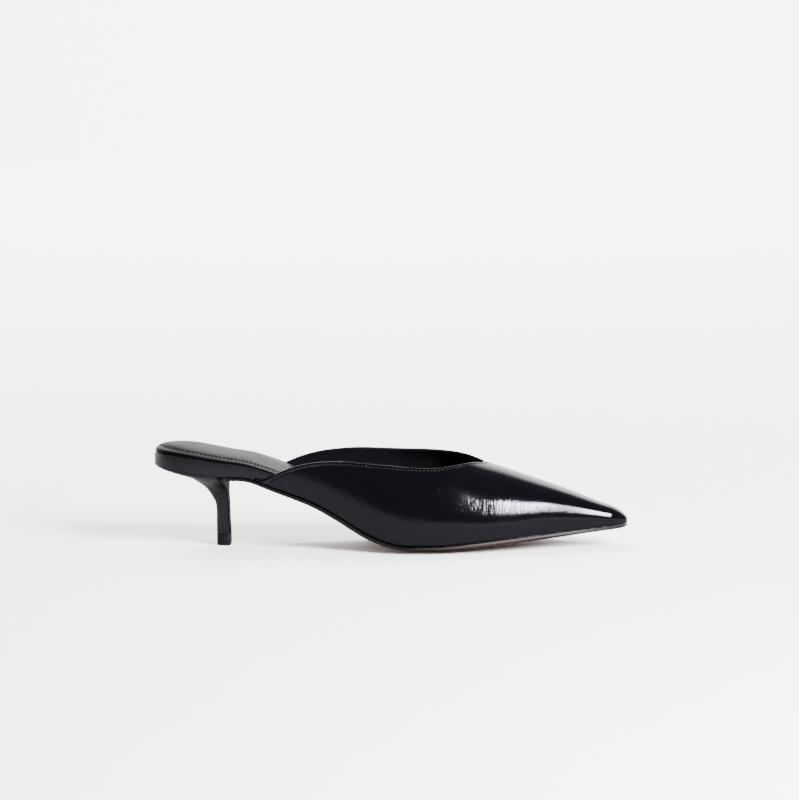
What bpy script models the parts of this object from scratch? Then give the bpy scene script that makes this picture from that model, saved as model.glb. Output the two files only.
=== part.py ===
"""Kitten heel mule, right shoe, standing empty.

Frame: +X toward the toe, +Y toward the inner side of the foot, +Z up.
The origin is the middle of the heel's tread, on the floor.
Stations are measured along the shoe, level, from the back of the seat.
"""
import math

import bmesh
import bpy
import numpy as np

# Length and heights, in metres
LENGTH = 0.2564             # back of the seat to the toe
HEEL_HEIGHT = 0.0434        # floor to the sole line at the back of the seat
TOE_SPRING = 0.0102         # floor to the sole line at the toe
INSTEP_HEIGHT = 0.0461      # floor to the throat of the vamp
VAMP_LENGTH = 0.0778        # throat to toe
TOE_HEIGHT = 0.0140         # floor to where the toe's top starts to round over

# Widths of the last bottom
SEAT_WIDTH = 0.052
WAIST_WIDTH = 0.047
BALL_WIDTH = 0.0735
TOE_WIDTH = 0.0140
NOSE_LENGTH = 0.0085        # the part of the toe that is rounded, seen from above

# Thicknesses
WALL = 0.0014               # leather and lining together
GAP = 0.0003                # between neighbouring pieces
UPPER_GROW = WALL + GAP     # the upper's outer face outside the last bottom
SOLE_EDGE = 0.0010          # upright part of the outsole's edge
SOLE_BEVEL = 0.0016         # how far the bevel under that edge runs inward
SOLE_THICKNESS = 0.0026     # in the middle of the forefoot
FEATHER_RADIUS = 0.0016     # bend of the upper over the edge of the last
LASTING_MARGIN = 0.0095     # width of upper turned in under the board
INSOLE_EDGE = 0.0012        # edge of the padded insole
INSOLE_DOME = 0.0024        # rise of the insole's middle over its edge, at the seat
INSOLE_INSET = 0.0005       # the insole inside the board's outline
PAD_EDGE = 0.0040           # the pad's rounded border
PAD_END = 0.0180            # from the insole's ends to the pad's full height
BOARD_EDGE = 0.0005         # bevel round the board
BOARD_HEIGHT = 0.0101       # sole line to the board's top at the seat
BOARD_TOE_ROOM = 0.0035     # from the board's front to the upper's lining

# Heel and top piece
HEEL_SETBACK = 0.0371       # back of the seat to the middle of the heel's tread
STEM_DEPTH = 0.0078         # front to back
STEM_WIDTH = 0.0094
BREAST_SETBACK = 0.0010     # how far the stem's front lies behind the top piece's, at its top
WING_SETBACK = 0.0030       # how much further back the cup's front corners lie
HEEL_TOP_INSET = 0.0005     # the heel's top inside the board's outline
STEM_CORNER = 0.0010        # rounding of the stem's front corners
TOP_PIECE_HEIGHT = 0.0062
TREAD_BEVEL = 0.0006        # how far the top piece's tread is drawn in
TREAD_BEVEL_HEIGHT = 0.0007
BREAST_LIP = 0.0008         # extra depth of the outsole's end at the breast
BREAST_CURVE = 0.0012       # how much further forward the outsole's rear corners lie
LIP_LENGTH = 0.0040         # over which that end thins out
UPPER_BACK = 0.0575         # back of the seat to the upper's rear ends

# Shares, each of the size that its comment names
INSOLE_SHARE = 0.93         # of LENGTH, covered by the insole
TREAD_SHARE = 0.42          # of the forefoot's half width, flat on the floor
PAD_FALL_SHARE = 0.92       # of the dome, lost on the way from the middle to the pad's border
INSOLE_LOW_SHARE = 0.45     # of INSOLE_EDGE, up to where the insole is widest
INSOLE_HIGH_SHARE = 0.92    # of INSOLE_EDGE, up to where its border turns over
BOARD_LOW_SHARE = 0.10      # of the board's height, up to its lower bevel
BOARD_HIGH_SHARE = 0.85     # of the board's height, up to its upper bevel
STRAIGHT_SHARE = 0.30       # of a heel section's depth, with straight sides
KEEL_SHARE = 0.9            # added to the power that points a section's back to a keel
THROAT_EASE_SHARE = 0.3     # of the way to the rear ends, over which the stations draw together
BULGE_FADE_SHARE = 0.35     # of the side bulge, lost on the way up to the ridge
MARGIN_FLAT_SHARE = 0.4     # of the margin's rows, flat before its bend
FEATHER_ROOM_SHARE = 0.9    # of the half width at the toe, which the bend there may take up

# Powers of the curves
TREAD_LIFT_POWER = 1.6      # how late the tread lifts toward the sole's edge
DOME_POWER = 3              # how flat the pad's middle is
BREAST_POWER = 3            # how late the outsole's rear corners curve forward

# Outline of the last bottom
# share of LENGTH, width that the row follows, outer half, inner half
OUTLINE = [
    (0.00, SEAT_WIDTH, 0.500, 0.500),
    (0.06, SEAT_WIDTH, 0.500, 0.500),
    (0.12, SEAT_WIDTH, 0.500, 0.498),
    (0.20, SEAT_WIDTH, 0.487, 0.477),
    (0.28, WAIST_WIDTH, 0.526, 0.487),
    (0.36, WAIST_WIDTH, 0.543, 0.460),
    (0.43, BALL_WIDTH, 0.386, 0.310),
    (0.50, BALL_WIDTH, 0.450, 0.375),
    (0.56, BALL_WIDTH, 0.490, 0.437),
    (0.62, BALL_WIDTH, 0.492, 0.477),
    (0.68, BALL_WIDTH, 0.452, 0.468),
    (0.76, BALL_WIDTH, 0.362, 0.394),
    (0.84, BALL_WIDTH, 0.256, 0.284),
    (0.92, TOE_WIDTH, 0.800, 0.880),
    (1.00, TOE_WIDTH, 0.350, 0.370),
]

# Sole line under the middle of the foot
# share of LENGTH, share of HEEL_HEIGHT, share of TOE_SPRING
SOLE_LINE = [
    (0.000, 1.000, 0.00),
    (0.060, 0.957, 0.00),
    (0.120, 0.913, 0.00),
    (0.170, 0.885, 0.00),
    (0.205, 0.869, 0.00),
    (0.240, 0.795, 0.00),
    (0.300, 0.656, 0.00),
    (0.340, 0.560, 0.00),
    (0.380, 0.435, 0.00),
    (0.420, 0.291, 0.00),
    (0.460, 0.150, 0.00),
    (0.500, 0.052, 0.00),
    (0.540, 0.000, 0.00),
    (0.575, 0.000, -0.02),
    (0.610, 0.000, 0.00),
    (0.690, 0.000, 0.15),
    (0.760, 0.000, 0.32),
    (0.840, 0.000, 0.53),
    (0.920, 0.000, 0.77),
    (1.000, 0.000, 1.00),
]

# Outsole: share of LENGTH, thickness in the middle, rise of its bottom at the edge, rise of its top there
SOLE_FORM = [
    (0.00, 0.62, 0.00, 0.00),
    (0.20, 0.62, 0.05, 0.05),
    (0.30, 0.70, 0.08, 0.13),
    (0.38, 0.76, 0.12, 0.30),
    (0.45, 0.80, 0.28, 0.50),
    (0.50, 0.88, 0.60, 0.60),
    (0.56, 0.96, 1.00, 0.66),
    (0.61, 0.98, 1.05, 0.66),
    (0.70, 1.00, 0.72, 0.60),
    (0.85, 0.85, 0.35, 0.40),
    (1.00, 0.50, 0.05, 0.10),
]

# Board and insole: share of LENGTH, height of the board's top over the sole line as a share of
# BOARD_HEIGHT, share of INSOLE_DOME, share of INSOLE_EDGE
BOARD_FORM = [
    (0.000, 0.75, 0.70, 2.20),
    (0.010, 0.86, 0.85, 1.85),
    (0.025, 0.945, 0.95, 1.45),
    (0.050, 1.00, 1.00, 1.15),
    (0.080, 1.02, 1.00, 1.00),
    (0.120, 0.99, 0.90, 0.85),
    (0.170, 0.93, 0.75, 0.65),
    (0.205, 0.865, 0.65, 0.54),
    (0.220, 0.88, 0.60, 0.50),
    (0.240, 0.93, 0.52, 0.44),
    (0.260, 0.965, 0.45, 0.40),
    (0.320, 0.95, 0.35, 0.40),
    (0.400, 0.82, 0.25, 0.45),
    (0.460, 0.75, 0.20, 0.50),
    (0.560, 0.76, 0.20, 0.50),
    (0.700, 0.76, 0.20, 0.50),
    (0.850, 0.66, 0.15, 0.50),
    (1.000, 0.50, 0.10, 0.50),
]

# Ridge of the last and the form of its sections
# share of LENGTH, ridge height as a share of INSTEP_HEIGHT, fullness, side bulge as a share of
# BALL_WIDTH, lean of the ridge to the inner side as a share of BALL_WIDTH
SECTIONS = [
    (0.220, 1.850, 2.3, 0.010, 0.000),
    (0.311, 1.755, 2.3, 0.010, 0.000),
    (0.370, 1.655, 2.3, 0.012, 0.005),
    (0.430, 1.545, 2.3, 0.018, 0.015),
    (0.486, 1.420, 2.3, 0.024, 0.025),
    (0.545, 1.300, 2.3, 0.028, 0.032),
    (0.600, 1.192, 2.3, 0.030, 0.035),
    (0.650, 1.090, 2.35, 0.024, 0.034),
    (0.697, 0.978, 2.35, 0.020, 0.030),
    (0.735, 0.912, 2.2, 0.018, 0.026),
    (0.780, 0.828, 2.45, 0.016, 0.020),
    (0.830, 0.735, 2.65, 0.014, 0.013),
    (0.880, 0.637, 2.75, 0.011, 0.007),
    (0.940, 0.512, 2.8, 0.008, 0.002),
    (1.000, 0.400, 2.6, 0.004, 0.000),
]

# Topline: share of the way from the throat to the upper's rear ends, then how far up the section
# the edge lies on the outer and the inner side, 1 at the ridge
TOPLINE = [
    (0.00, 1.000, 1.000),
    (0.05, 0.955, 0.945),
    (0.10, 0.893, 0.888),
    (0.15, 0.798, 0.828),
    (0.20, 0.705, 0.766),
    (0.30, 0.586, 0.672),
    (0.40, 0.522, 0.590),
    (0.50, 0.473, 0.516),
    (0.60, 0.403, 0.435),
    (0.70, 0.320, 0.335),
    (0.80, 0.220, 0.221),
    (0.90, 0.104, 0.096),
    (0.95, 0.035, 0.030),
    (0.975, 0.006, 0.005),
    (1.00, 0.001, 0.001),
]

# Heel: height of the section's back as a share of the seat's height, its reach back from the stem,
# its spread sideways, how far its front lies back from the top piece's, how far it leans with the seat
HEEL_FORM = [
    (0.145, 0.000, 0.000, 0.00, 0.00),
    (0.300, 0.000, 0.005, 0.40, 0.00),
    (0.460, 0.001, 0.012, 0.55, 0.00),
    (0.544, 0.030, 0.025, 0.65, 0.00),
    (0.615, 0.084, 0.045, 0.80, 0.06),
    (0.690, 0.163, 0.110, 0.95, 0.20),
    (0.762, 0.298, 0.330, 1.00, 0.40),
    (0.824, 0.434, 0.580, 1.00, 0.58),
    (0.860, 0.521, 0.720, 1.00, 0.70),
    (0.897, 0.651, 0.830, 1.00, 0.80),
    (0.926, 0.774, 0.905, 1.00, 0.90),
    (0.957, 0.900, 0.965, 1.00, 0.96),
    (0.984, 0.960, 0.993, 1.00, 1.00),
    (1.000, 0.985, 1.000, 1.00, 1.00),
]

# How finely the solids are faceted
SIDE_ROWS = 10
MARGIN_ROWS = 3
QUARTER_STATIONS = 20
VAMP_STATIONS = 14
NOSE_STATIONS = 6
PLATE_STATIONS = 26
END_STATIONS = 7
HEEL_POINTS = 9
BREAST_POINTS = 5
SLOPE_STEP = 0.001          # of LENGTH, over which the ridge's slope is read

SIDES = (-1, 1)             # signs of Y on the outer and the inner side
OUTER, INNER = SIDES


def clear_scene():
    for thing in list(bpy.data.objects):
        bpy.data.objects.remove(thing, do_unlink=True)


def spline(table, column):
    """Smooth curve through a table's column, over its first column: a natural cubic spline."""
    x = np.array([row[0] for row in table], float)
    y = np.array([column(row) for row in table], float)
    step = np.diff(x)
    rise = np.diff(y) / step
    size = len(x)
    system = np.eye(size)
    target = np.zeros(size)
    for k in range(1, size - 1):
        system[k, k - 1:k + 2] = step[k - 1], 2 * (step[k - 1] + step[k]), step[k]
        target[k] = 6 * (rise[k] - rise[k - 1])
    bend = np.linalg.solve(system, target)

    def value(at):
        at = np.clip(np.asarray(at, float), x[0], x[-1])
        k = np.clip(np.searchsorted(x, at, side="right") - 1, 0, size - 2)
        a = (x[k + 1] - at) / step[k]
        b = (at - x[k]) / step[k]
        curved = ((a ** 3 - a) * bend[k] + (b ** 3 - b) * bend[k + 1]) * step[k] ** 2 / 6
        return a * y[k] + b * y[k + 1] + curved

    return value


outline_outer = spline(OUTLINE, lambda row: row[1] * row[2])
outline_inner = spline(OUTLINE, lambda row: row[1] * row[3])
sole_line_raw = spline(SOLE_LINE, lambda row: HEEL_HEIGHT * row[1] + TOE_SPRING * row[2])
sole_thickness = spline(SOLE_FORM, lambda row: SOLE_THICKNESS * row[1])
bottom_rise = spline(SOLE_FORM, lambda row: SOLE_THICKNESS * row[2])
top_rise = spline(SOLE_FORM, lambda row: SOLE_THICKNESS * row[3])
board_rise = spline(BOARD_FORM, lambda row: BOARD_HEIGHT * row[1])
dome_rise = spline(BOARD_FORM, lambda row: INSOLE_DOME * row[2])
insole_edge = spline(BOARD_FORM, lambda row: INSOLE_EDGE * row[3])
ridge_raw = spline(SECTIONS, lambda row: INSTEP_HEIGHT * row[1])
fullness = spline(SECTIONS, lambda row: row[2])
side_bulge = spline(SECTIONS, lambda row: BALL_WIDTH * row[3])
ridge_lean = spline(SECTIONS, lambda row: BALL_WIDTH * row[4])
topline_outer = spline(TOPLINE, lambda row: row[1])
topline_inner = spline(TOPLINE, lambda row: row[2])


def smooth_step(at, start, end):
    share = np.clip((np.asarray(at, float) - start) / (end - start), 0, 1)
    return share * share * (3 - 2 * share)


def round_end(at, start, end):
    """1 before start, then a quarter of an ellipse down to 0 at end."""
    share = np.clip((np.asarray(at, float) - start) / (end - start), 0, 1)
    return np.sqrt(1 - share * share)


def half_width(s, side, grow=0.0, front=LENGTH):
    """Half width of the last bottom on one side, grown sideways and closed by a nose at front."""
    curve = outline_outer if side == OUTER else outline_inner
    return (curve(s / LENGTH) + grow) * round_end(s, front - NOSE_LENGTH, front)


def sole_line(s):
    """Underside of the outsole in the middle; flat on the floor where it treads."""
    return np.maximum(sole_line_raw(s / LENGTH), 0)


def sole_top(s, share):
    """Top of the outsole, share being the way from the middle to the edge."""
    along = s / LENGTH
    return sole_line(s) + sole_thickness(along) + top_rise(along) * share ** 2


def sole_bottom(s, share):
    """Underside: flat in the middle, rising toward the edge."""
    lift = np.clip((share - TREAD_SHARE) / (1 - TREAD_SHARE), 0, 1) ** TREAD_LIFT_POWER
    return sole_line(s) + bottom_rise(s / LENGTH) * lift


def board_top(s):
    """Top of the covered board on which the insole lies."""
    return sole_line(s) + board_rise(s / LENGTH)


def ridge_height(s, depth):
    """Height of the upper's ridge, depth being how far inside the outer face."""
    along = s / LENGTH
    rise = ridge_raw(along + SLOPE_STEP) - ridge_raw(along - SLOPE_STEP)
    slope = rise / (2 * SLOPE_STEP * LENGTH)
    line = ridge_raw(along) - depth * np.sqrt(1 + slope ** 2)
    return TOE_HEIGHT + (line - TOE_HEIGHT) * round_end(s, LENGTH - depth - NOSE_LENGTH, LENGTH - depth)


def upper_wall(s, side, up, depth):
    """Point on the upper's wall: up is 0 at the feather edge and 1 at the ridge."""
    w = half_width(s, side, UPPER_GROW - depth, LENGTH - depth)
    low = sole_top(s, 1.0) + GAP + FEATHER_RADIUS
    high = ridge_height(s, depth)
    lean = side * ridge_lean(s / LENGTH)
    turn = up * math.pi / 2
    power = 2 / fullness(s / LENGTH)
    across = lean + (w - lean) * np.cos(turn) ** power
    bulge = side_bulge(s / LENGTH) * round_end(s, LENGTH - depth - NOSE_LENGTH, LENGTH - depth)
    across = across + bulge * np.sin(2 * turn) * (1 - BULGE_FADE_SHARE * up)
    return side * across, low + (high - low) * np.sin(turn) ** power


def narrower_half(s):
    """Half width of the upper at its foot, on the side where it is less."""
    return np.minimum(half_width(s, OUTER, UPPER_GROW), half_width(s, INNER, UPPER_GROW))


def margin_opening(s):
    """Share of the half width that the turned-in margin leaves open; 0 where both sides meet."""
    return np.maximum(1 - LASTING_MARGIN / np.maximum(narrower_half(s), 1e-6), 0)


def upper_margin(s, side, share, depth):
    """Point on the turned-in margin: share is 0 at its inner edge and 1 at the start of the wall."""
    whole = half_width(s, side, UPPER_GROW)
    w = half_width(s, side, UPPER_GROW - depth, LENGTH - depth)
    bend_across = np.minimum(FEATHER_RADIUS, narrower_half(s) * FEATHER_ROOM_SHARE) - depth
    bend_across = np.maximum(bend_across, FEATHER_RADIUS - WALL)
    bend_up = FEATHER_RADIUS - depth
    inner = whole * margin_opening(s)
    if share < MARGIN_FLAT_SHARE:
        mix = share / MARGIN_FLAT_SHARE
        across = inner + (w - bend_across - inner) * mix
        drop = bend_up
    else:
        turn = (share - MARGIN_FLAT_SHARE) / (1 - MARGIN_FLAT_SHARE) * math.pi / 2
        across = w - bend_across + bend_across * math.sin(turn)
        drop = bend_up * math.cos(turn)
    across = np.maximum(across, 0)
    low = sole_top(s, np.clip(across / np.maximum(whole, 1e-6), 0, 1)) + GAP
    return side * across, low + FEATHER_RADIUS - drop


def upper_stations():
    """Stations from the rear ends to the toe, closest at the throat and the toe."""
    throat = LENGTH - VAMP_LENGTH
    q = np.linspace(1, 0, QUARTER_STATIONS + 1)
    ease = THROAT_EASE_SHARE
    quarter = throat - (throat - UPPER_BACK) * q * q / (q + ease) * (1 + ease)
    nose = LENGTH - NOSE_LENGTH
    vamp = np.linspace(throat, nose, VAMP_STATIONS + 1)[1:]
    turn = np.linspace(0, math.pi / 2, NOSE_STATIONS + 1)[1:]
    return np.concatenate([quarter, vamp, nose + NOSE_LENGTH * np.sin(turn)]), q


def upper_grid(side, depth):
    """Grid of points, station by row, from the margin's inner edge up to the topline or the ridge."""
    s, q = upper_stations()
    edge = topline_outer if side == OUTER else topline_inner
    top = np.ones(len(s))
    top[:len(q)] = edge(q)
    top[len(q) - 1] = 1.0
    s_layer = np.where(s > LENGTH - NOSE_LENGTH, s - depth * (s - (LENGTH - NOSE_LENGTH)) / NOSE_LENGTH, s)
    rows = []
    for share in (0.0, *np.linspace(MARGIN_FLAT_SHARE, 1, MARGIN_ROWS + 1)[:-1]):
        y, z = upper_margin(s_layer, side, share, depth)
        rows.append(np.stack([s_layer, y, z], axis=1))
    for k in range(SIDE_ROWS + 1):
        y, z = upper_wall(s_layer, side, top * k / SIDE_ROWS, depth)
        rows.append(np.stack([s_layer, y, z], axis=1))
    return np.stack(rows, axis=1)


class Net:
    """Collects grids of points and faces, then sews them into one closed mesh."""

    def __init__(self):
        self.mesh = bmesh.new()

    def points(self, grid):
        """Vertices for a grid whose last axis is station, across and height."""
        flat = grid.reshape(-1, 3)
        made = [self.mesh.verts.new((p[0] - HEEL_SETBACK, p[1], p[2])) for p in flat]
        return np.array(made, dtype=object).reshape(grid.shape[:-1])

    def face(self, *corners):
        kept = []
        for corner in corners:
            if not any((corner.co - other.co).length < 1e-7 for other in kept):
                kept.append(corner)
        if len(kept) > 2:
            self.mesh.faces.new(kept)

    def skin(self, grid):
        for i in range(grid.shape[0] - 1):
            for j in range(grid.shape[1] - 1):
                self.face(grid[i, j], grid[i + 1, j], grid[i + 1, j + 1], grid[i, j + 1])

    def strip(self, one, other):
        for i in range(len(one) - 1):
            self.face(one[i], one[i + 1], other[i + 1], other[i])

    def finish(self, name, material, collection):
        bmesh.ops.remove_doubles(self.mesh, verts=self.mesh.verts, dist=2e-6)
        bmesh.ops.dissolve_degenerate(self.mesh, edges=self.mesh.edges, dist=1e-6)
        bmesh.ops.recalc_face_normals(self.mesh, faces=self.mesh.faces)
        data = bpy.data.meshes.new(name)
        self.mesh.to_mesh(data)
        self.mesh.free()
        data.shade_smooth()
        data.set_sharp_from_angle(angle=math.radians(40))
        data.materials.append(material)
        thing = bpy.data.objects.new(name, data)
        collection.objects.link(thing)
        return thing


def plate_stations(back, front):
    """Stations from back to front, closest at both round ends."""
    ends = np.linspace(0, math.pi / 2, END_STATIONS + 1)
    seat = back + (SEAT_WIDTH / 2) * (1 - np.cos(ends))
    nose = front - NOSE_LENGTH * (1 - np.sin(ends))
    middle = np.linspace(seat[-1], nose[0], PLATE_STATIONS + 1)[1:-1]
    return np.concatenate([seat, middle, nose])


def plate_grid(side, rows, back, front, stations):
    """Grid for a plate; each row gives its inset, its share of the half width and its height."""
    grid = []
    seat = SEAT_WIDTH / 2
    at_back = 1 - smooth_step(stations, back, back + seat)
    at_front = smooth_step(stations, front - 2 * NOSE_LENGTH, front)
    for inset, share, height in rows:
        s = stations + inset * (at_back - at_front)
        rounded = round_end(-s, -(back + seat), -(back + inset))
        w = half_width(s, side, -inset, front - inset) * rounded
        closing = rounded * round_end(s, front - inset - NOSE_LENGTH, front - inset)
        grid.append(np.stack([s, side * w * share, height(s, share * closing)], axis=1))
    return np.stack(grid, axis=1)


def build_plate(name, rows, front, stations, material, collection):
    """Plate with the outline of the last: rows run from the middle of its underside to its top."""
    net = Net()
    for side in SIDES:
        net.skin(net.points(plate_grid(side, rows, 0.0, front, stations)))
    return net.finish(name, material, collection)


def build_board(material, collection):
    """Covered board: its edge shows round the seat, and the upper is lasted under it further on."""
    front = LENGTH - WALL - BOARD_TOE_ROOM
    rise = np.array([UPPER_BACK - 3 * GAP, UPPER_BACK - GAP])
    stations = np.sort(np.concatenate([plate_stations(0.0, front), rise]))

    def under(s, share):
        return sole_top(s, share) + GAP + (WALL + GAP) * smooth_step(s, rise[0], rise[1])

    def top(s, share):
        return board_top(s)

    def between(level):
        return lambda s, share: under(s, 1.0) + (board_top(s) - under(s, 1.0)) * level

    rows = [
        (BOARD_EDGE, 0.0, under),
        (BOARD_EDGE, 0.5, under),
        (BOARD_EDGE, 1.0, under),
        (0.0, 1.0, between(BOARD_LOW_SHARE)),
        (0.0, 1.0, between(BOARD_HIGH_SHARE)),
        (BOARD_EDGE, 1.0, top),
        (BOARD_EDGE, 0.5, top),
        (BOARD_EDGE, 0.0, top),
    ]
    return build_plate("insole_board", rows, front, stations, material, collection)


def build_insole(material, collection):
    """Padded insole: wrapped edge and domed middle over the seat."""
    front = LENGTH * INSOLE_SHARE

    def level(height):
        return lambda s, share: board_top(s) + GAP + insole_edge(s / LENGTH) * height

    def dome(s, share):
        """Falls to the edge's height at the sides and at both ends."""
        ends = round_end(-s, -PAD_END, -PAD_EDGE) * round_end(s, front - PAD_END, front - PAD_EDGE)
        fall = (PAD_FALL_SHARE * share) ** DOME_POWER
        return level(1.0)(s, share) + dome_rise(s / LENGTH) * (1 - fall) * ends

    rows = [
        (INSOLE_INSET * 2, 0.0, level(0.0)),
        (INSOLE_INSET * 2, 1.0, level(0.0)),
        (INSOLE_INSET, 1.0, level(INSOLE_LOW_SHARE)),
        (INSOLE_INSET * 2, 1.0, level(INSOLE_HIGH_SHARE)),
    ]
    rows = rows + [(PAD_EDGE, share, dome) for share in np.linspace(1, 0, 4)]
    return build_plate("insole", rows, front, plate_stations(0.0, front), material, collection)


def build_upper(material, collection):
    """Hollow upper: an outer and an inner face joined at the topline, the rear ends and the margin."""
    net = Net()
    stations, q = upper_stations()
    throat = len(q) - 1
    for side in SIDES:
        outside = net.points(upper_grid(side, 0.0))
        inside = net.points(upper_grid(side, WALL))
        net.skin(outside)
        net.skin(inside)
        net.strip(outside[0], inside[0])
        net.strip(outside[:throat + 1, -1], inside[:throat + 1, -1])
        last = int(np.max(np.nonzero(margin_opening(stations) > 0)[0])) + 1
        net.strip(outside[:last + 1, 0], inside[:last + 1, 0])
    return net.finish("upper", material, collection)


def build_outsole(material, collection):
    """Thin outsole from the breast of the heel to the toe, bevelled under its edge."""
    start = HEEL_SETBACK + STEM_DEPTH / 2 - BREAST_SETBACK + 2 * GAP
    front = LENGTH
    lip_end = start + LIP_LENGTH
    curve_end = start + 4 * LIP_LENGTH
    turn = np.linspace(0, math.pi / 2, NOSE_STATIONS + 1)
    nose = front - NOSE_LENGTH * (1 - np.sin(turn))
    lip = start + LIP_LENGTH * np.linspace(0, 1, 4) ** 1.5
    middle = np.linspace(start + 2 * LIP_LENGTH, nose[0], PLATE_STATIONS + 1)[:-1]
    stations = np.concatenate([lip, middle, nose])

    def curl(s):
        return BREAST_LIP * (1 - smooth_step(s, start, lip_end))

    def bottom(s, share):
        return sole_bottom(s, share) - curl(s)

    def corner(s, share):
        thickness = sole_top(s, share) - sole_bottom(s, share)
        return sole_top(s, share) - np.minimum(SOLE_EDGE, thickness / 2)

    rows = [(SOLE_BEVEL, share, bottom) for share in (0.0, *np.linspace(TREAD_SHARE, 1, 4))]
    rows = rows + [(0.0, 1.0, corner)] + [(0.0, share, sole_top) for share in np.linspace(1, 0, 4)]
    net = Net()
    ends = []
    for side in SIDES:
        grid = []
        for inset, share, height in rows:
            s = stations - inset * smooth_step(stations, nose[0], nose[-1])
            s = s + BREAST_CURVE * share ** BREAST_POWER * (1 - smooth_step(stations, start, curve_end))
            w = half_width(s, side, UPPER_GROW - inset, front - inset)
            closing = round_end(s, front - inset - NOSE_LENGTH, front - inset)
            grid.append(np.stack([s, side * w * share, height(s, share * closing)], axis=1))
        points = net.points(np.stack(grid, axis=1))
        net.skin(points)
        ends.append(points[0])
    net.strip(ends[0], ends[1])
    return net.finish("outsole", material, collection)


def breast_line(front, y):
    """Front of the heel seen from above: nearly flat over the stem, its wings curving back."""
    return front - WING_SETBACK * (np.abs(y) / (SEAT_WIDTH / 2)) ** 2


def heel_ring(front, back, width, keel=0.0):
    """Section of the heel seen from above: breast, rounded corners, sides, and a back that a keel points."""
    half = width / 2
    breast_y = (half - STEM_CORNER) * np.linspace(0, 1, BREAST_POINTS)
    side_x = float(breast_line(front, half)) - STEM_CORNER
    bend = side_x - (side_x - back) * STRAIGHT_SHARE
    turn = np.linspace(0, math.pi / 2, HEEL_POINTS)
    eighth = STEM_CORNER * math.sqrt(0.5)
    corner_x = (side_x + eighth, side_x)
    corner_y = (half - STEM_CORNER + eighth, half)
    x = np.concatenate([breast_line(front, breast_y), corner_x, bend - (bend - back) * np.sin(turn)])
    y = np.concatenate([breast_y, corner_y, half * np.abs(np.cos(turn)) ** (1 + keel)])
    return np.concatenate([x, x[-2::-1]]), np.concatenate([-y, y[-2::-1]])


def close_rings(net, rings):
    """Joins closed rings, each the same points round, and closes the first and the last."""
    grid = net.points(np.stack(rings, axis=0))
    for lower, upper in zip(grid[:-1], grid[1:]):
        net.strip(lower, upper)
    for ring in (grid[0], grid[-1]):
        half = len(ring) // 2
        heights = [point.co.z for point in ring]
        if max(heights) - min(heights) < 1e-7:
            net.mesh.faces.new(list(ring))
        else:
            net.strip(ring[:half + 1], ring[::-1][:half + 1])


def build_heel(material, collection):
    """Covered heel: a cup under the board that runs down into a slender stem."""
    def seat_under(s):
        return sole_top(s, 0.0)

    stem_back = HEEL_SETBACK - STEM_DEPTH / 2
    seat_height = float(seat_under(0.0))
    rings = []
    for height, reach, spread, setback, lean in HEEL_FORM:
        back = stem_back * (1 - reach)
        front = HEEL_SETBACK + STEM_DEPTH / 2 - BREAST_SETBACK * setback
        width = STEM_WIDTH + (SEAT_WIDTH - 2 * HEEL_TOP_INSET - STEM_WIDTH) * spread
        x, y = heel_ring(front, back, width, KEEL_SHARE * (1 - spread ** 4) * smooth_step(spread, 0.02, 0.3))
        level = max(TOP_PIECE_HEIGHT + GAP, seat_height * height) if height < 1 else float(seat_under(back))
        z = level + lean * (seat_under(x) - seat_under(back))
        rings.append(np.stack([x, y, z], axis=1))
    rings[0][:, 2] = TOP_PIECE_HEIGHT + GAP
    net = Net()
    close_rings(net, rings)
    return net.finish("heel", material, collection)


def build_top_piece(material, collection):
    """Top piece: the hard rubber lift on which the heel stands."""
    rings = []
    for height, inset in ((0.0, TREAD_BEVEL), (TREAD_BEVEL_HEIGHT, 0.0), (TOP_PIECE_HEIGHT, 0.0)):
        front = HEEL_SETBACK + STEM_DEPTH / 2 - inset
        back = HEEL_SETBACK - STEM_DEPTH / 2 + inset
        x, y = heel_ring(front, back, STEM_WIDTH - 2 * inset)
        rings.append(np.stack([x, y, np.full(len(x), height)], axis=1))
    net = Net()
    close_rings(net, rings)
    return net.finish("top_piece", material, collection)


def make_material(name, colour, roughness):
    material = bpy.data.materials.new(name)
    material.use_nodes = True
    shader = material.node_tree.nodes["Principled BSDF"]
    shader.inputs["Base Color"].default_value = (*colour, 1.0)
    shader.inputs["Roughness"].default_value = roughness
    shader.inputs["Metallic"].default_value = 0.0
    return material


clear_scene()
shoe = bpy.data.collections.new("kitten_heel_mule")
bpy.context.scene.collection.children.link(shoe)
build_upper(make_material("upper_leather", (0.012, 0.012, 0.016), 0.22), shoe)
build_insole(make_material("insole_leather", (0.020, 0.020, 0.024), 0.30), shoe)
build_board(make_material("board_cover", (0.016, 0.016, 0.020), 0.30), shoe)
build_heel(make_material("heel_cover", (0.016, 0.016, 0.020), 0.30), shoe)
build_top_piece(make_material("top_piece_rubber", (0.010, 0.010, 0.011), 0.55), shoe)
build_outsole(make_material("outsole_resin", (0.130, 0.075, 0.055), 0.45), shoe)
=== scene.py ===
"""Looks of the kitten heel mule, a right shoe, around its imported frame.

Frame: +X toward the toe, +Y toward the inner side of the foot, +Z up, in metres.
Stations run level along the shoe from the back of the seat, which lies HEEL_SETBACK behind the origin.
"""
import math

import bmesh
import bpy
import numpy as np
from mathutils import Matrix, Vector
from mathutils.bvhtree import BVHTree


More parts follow.
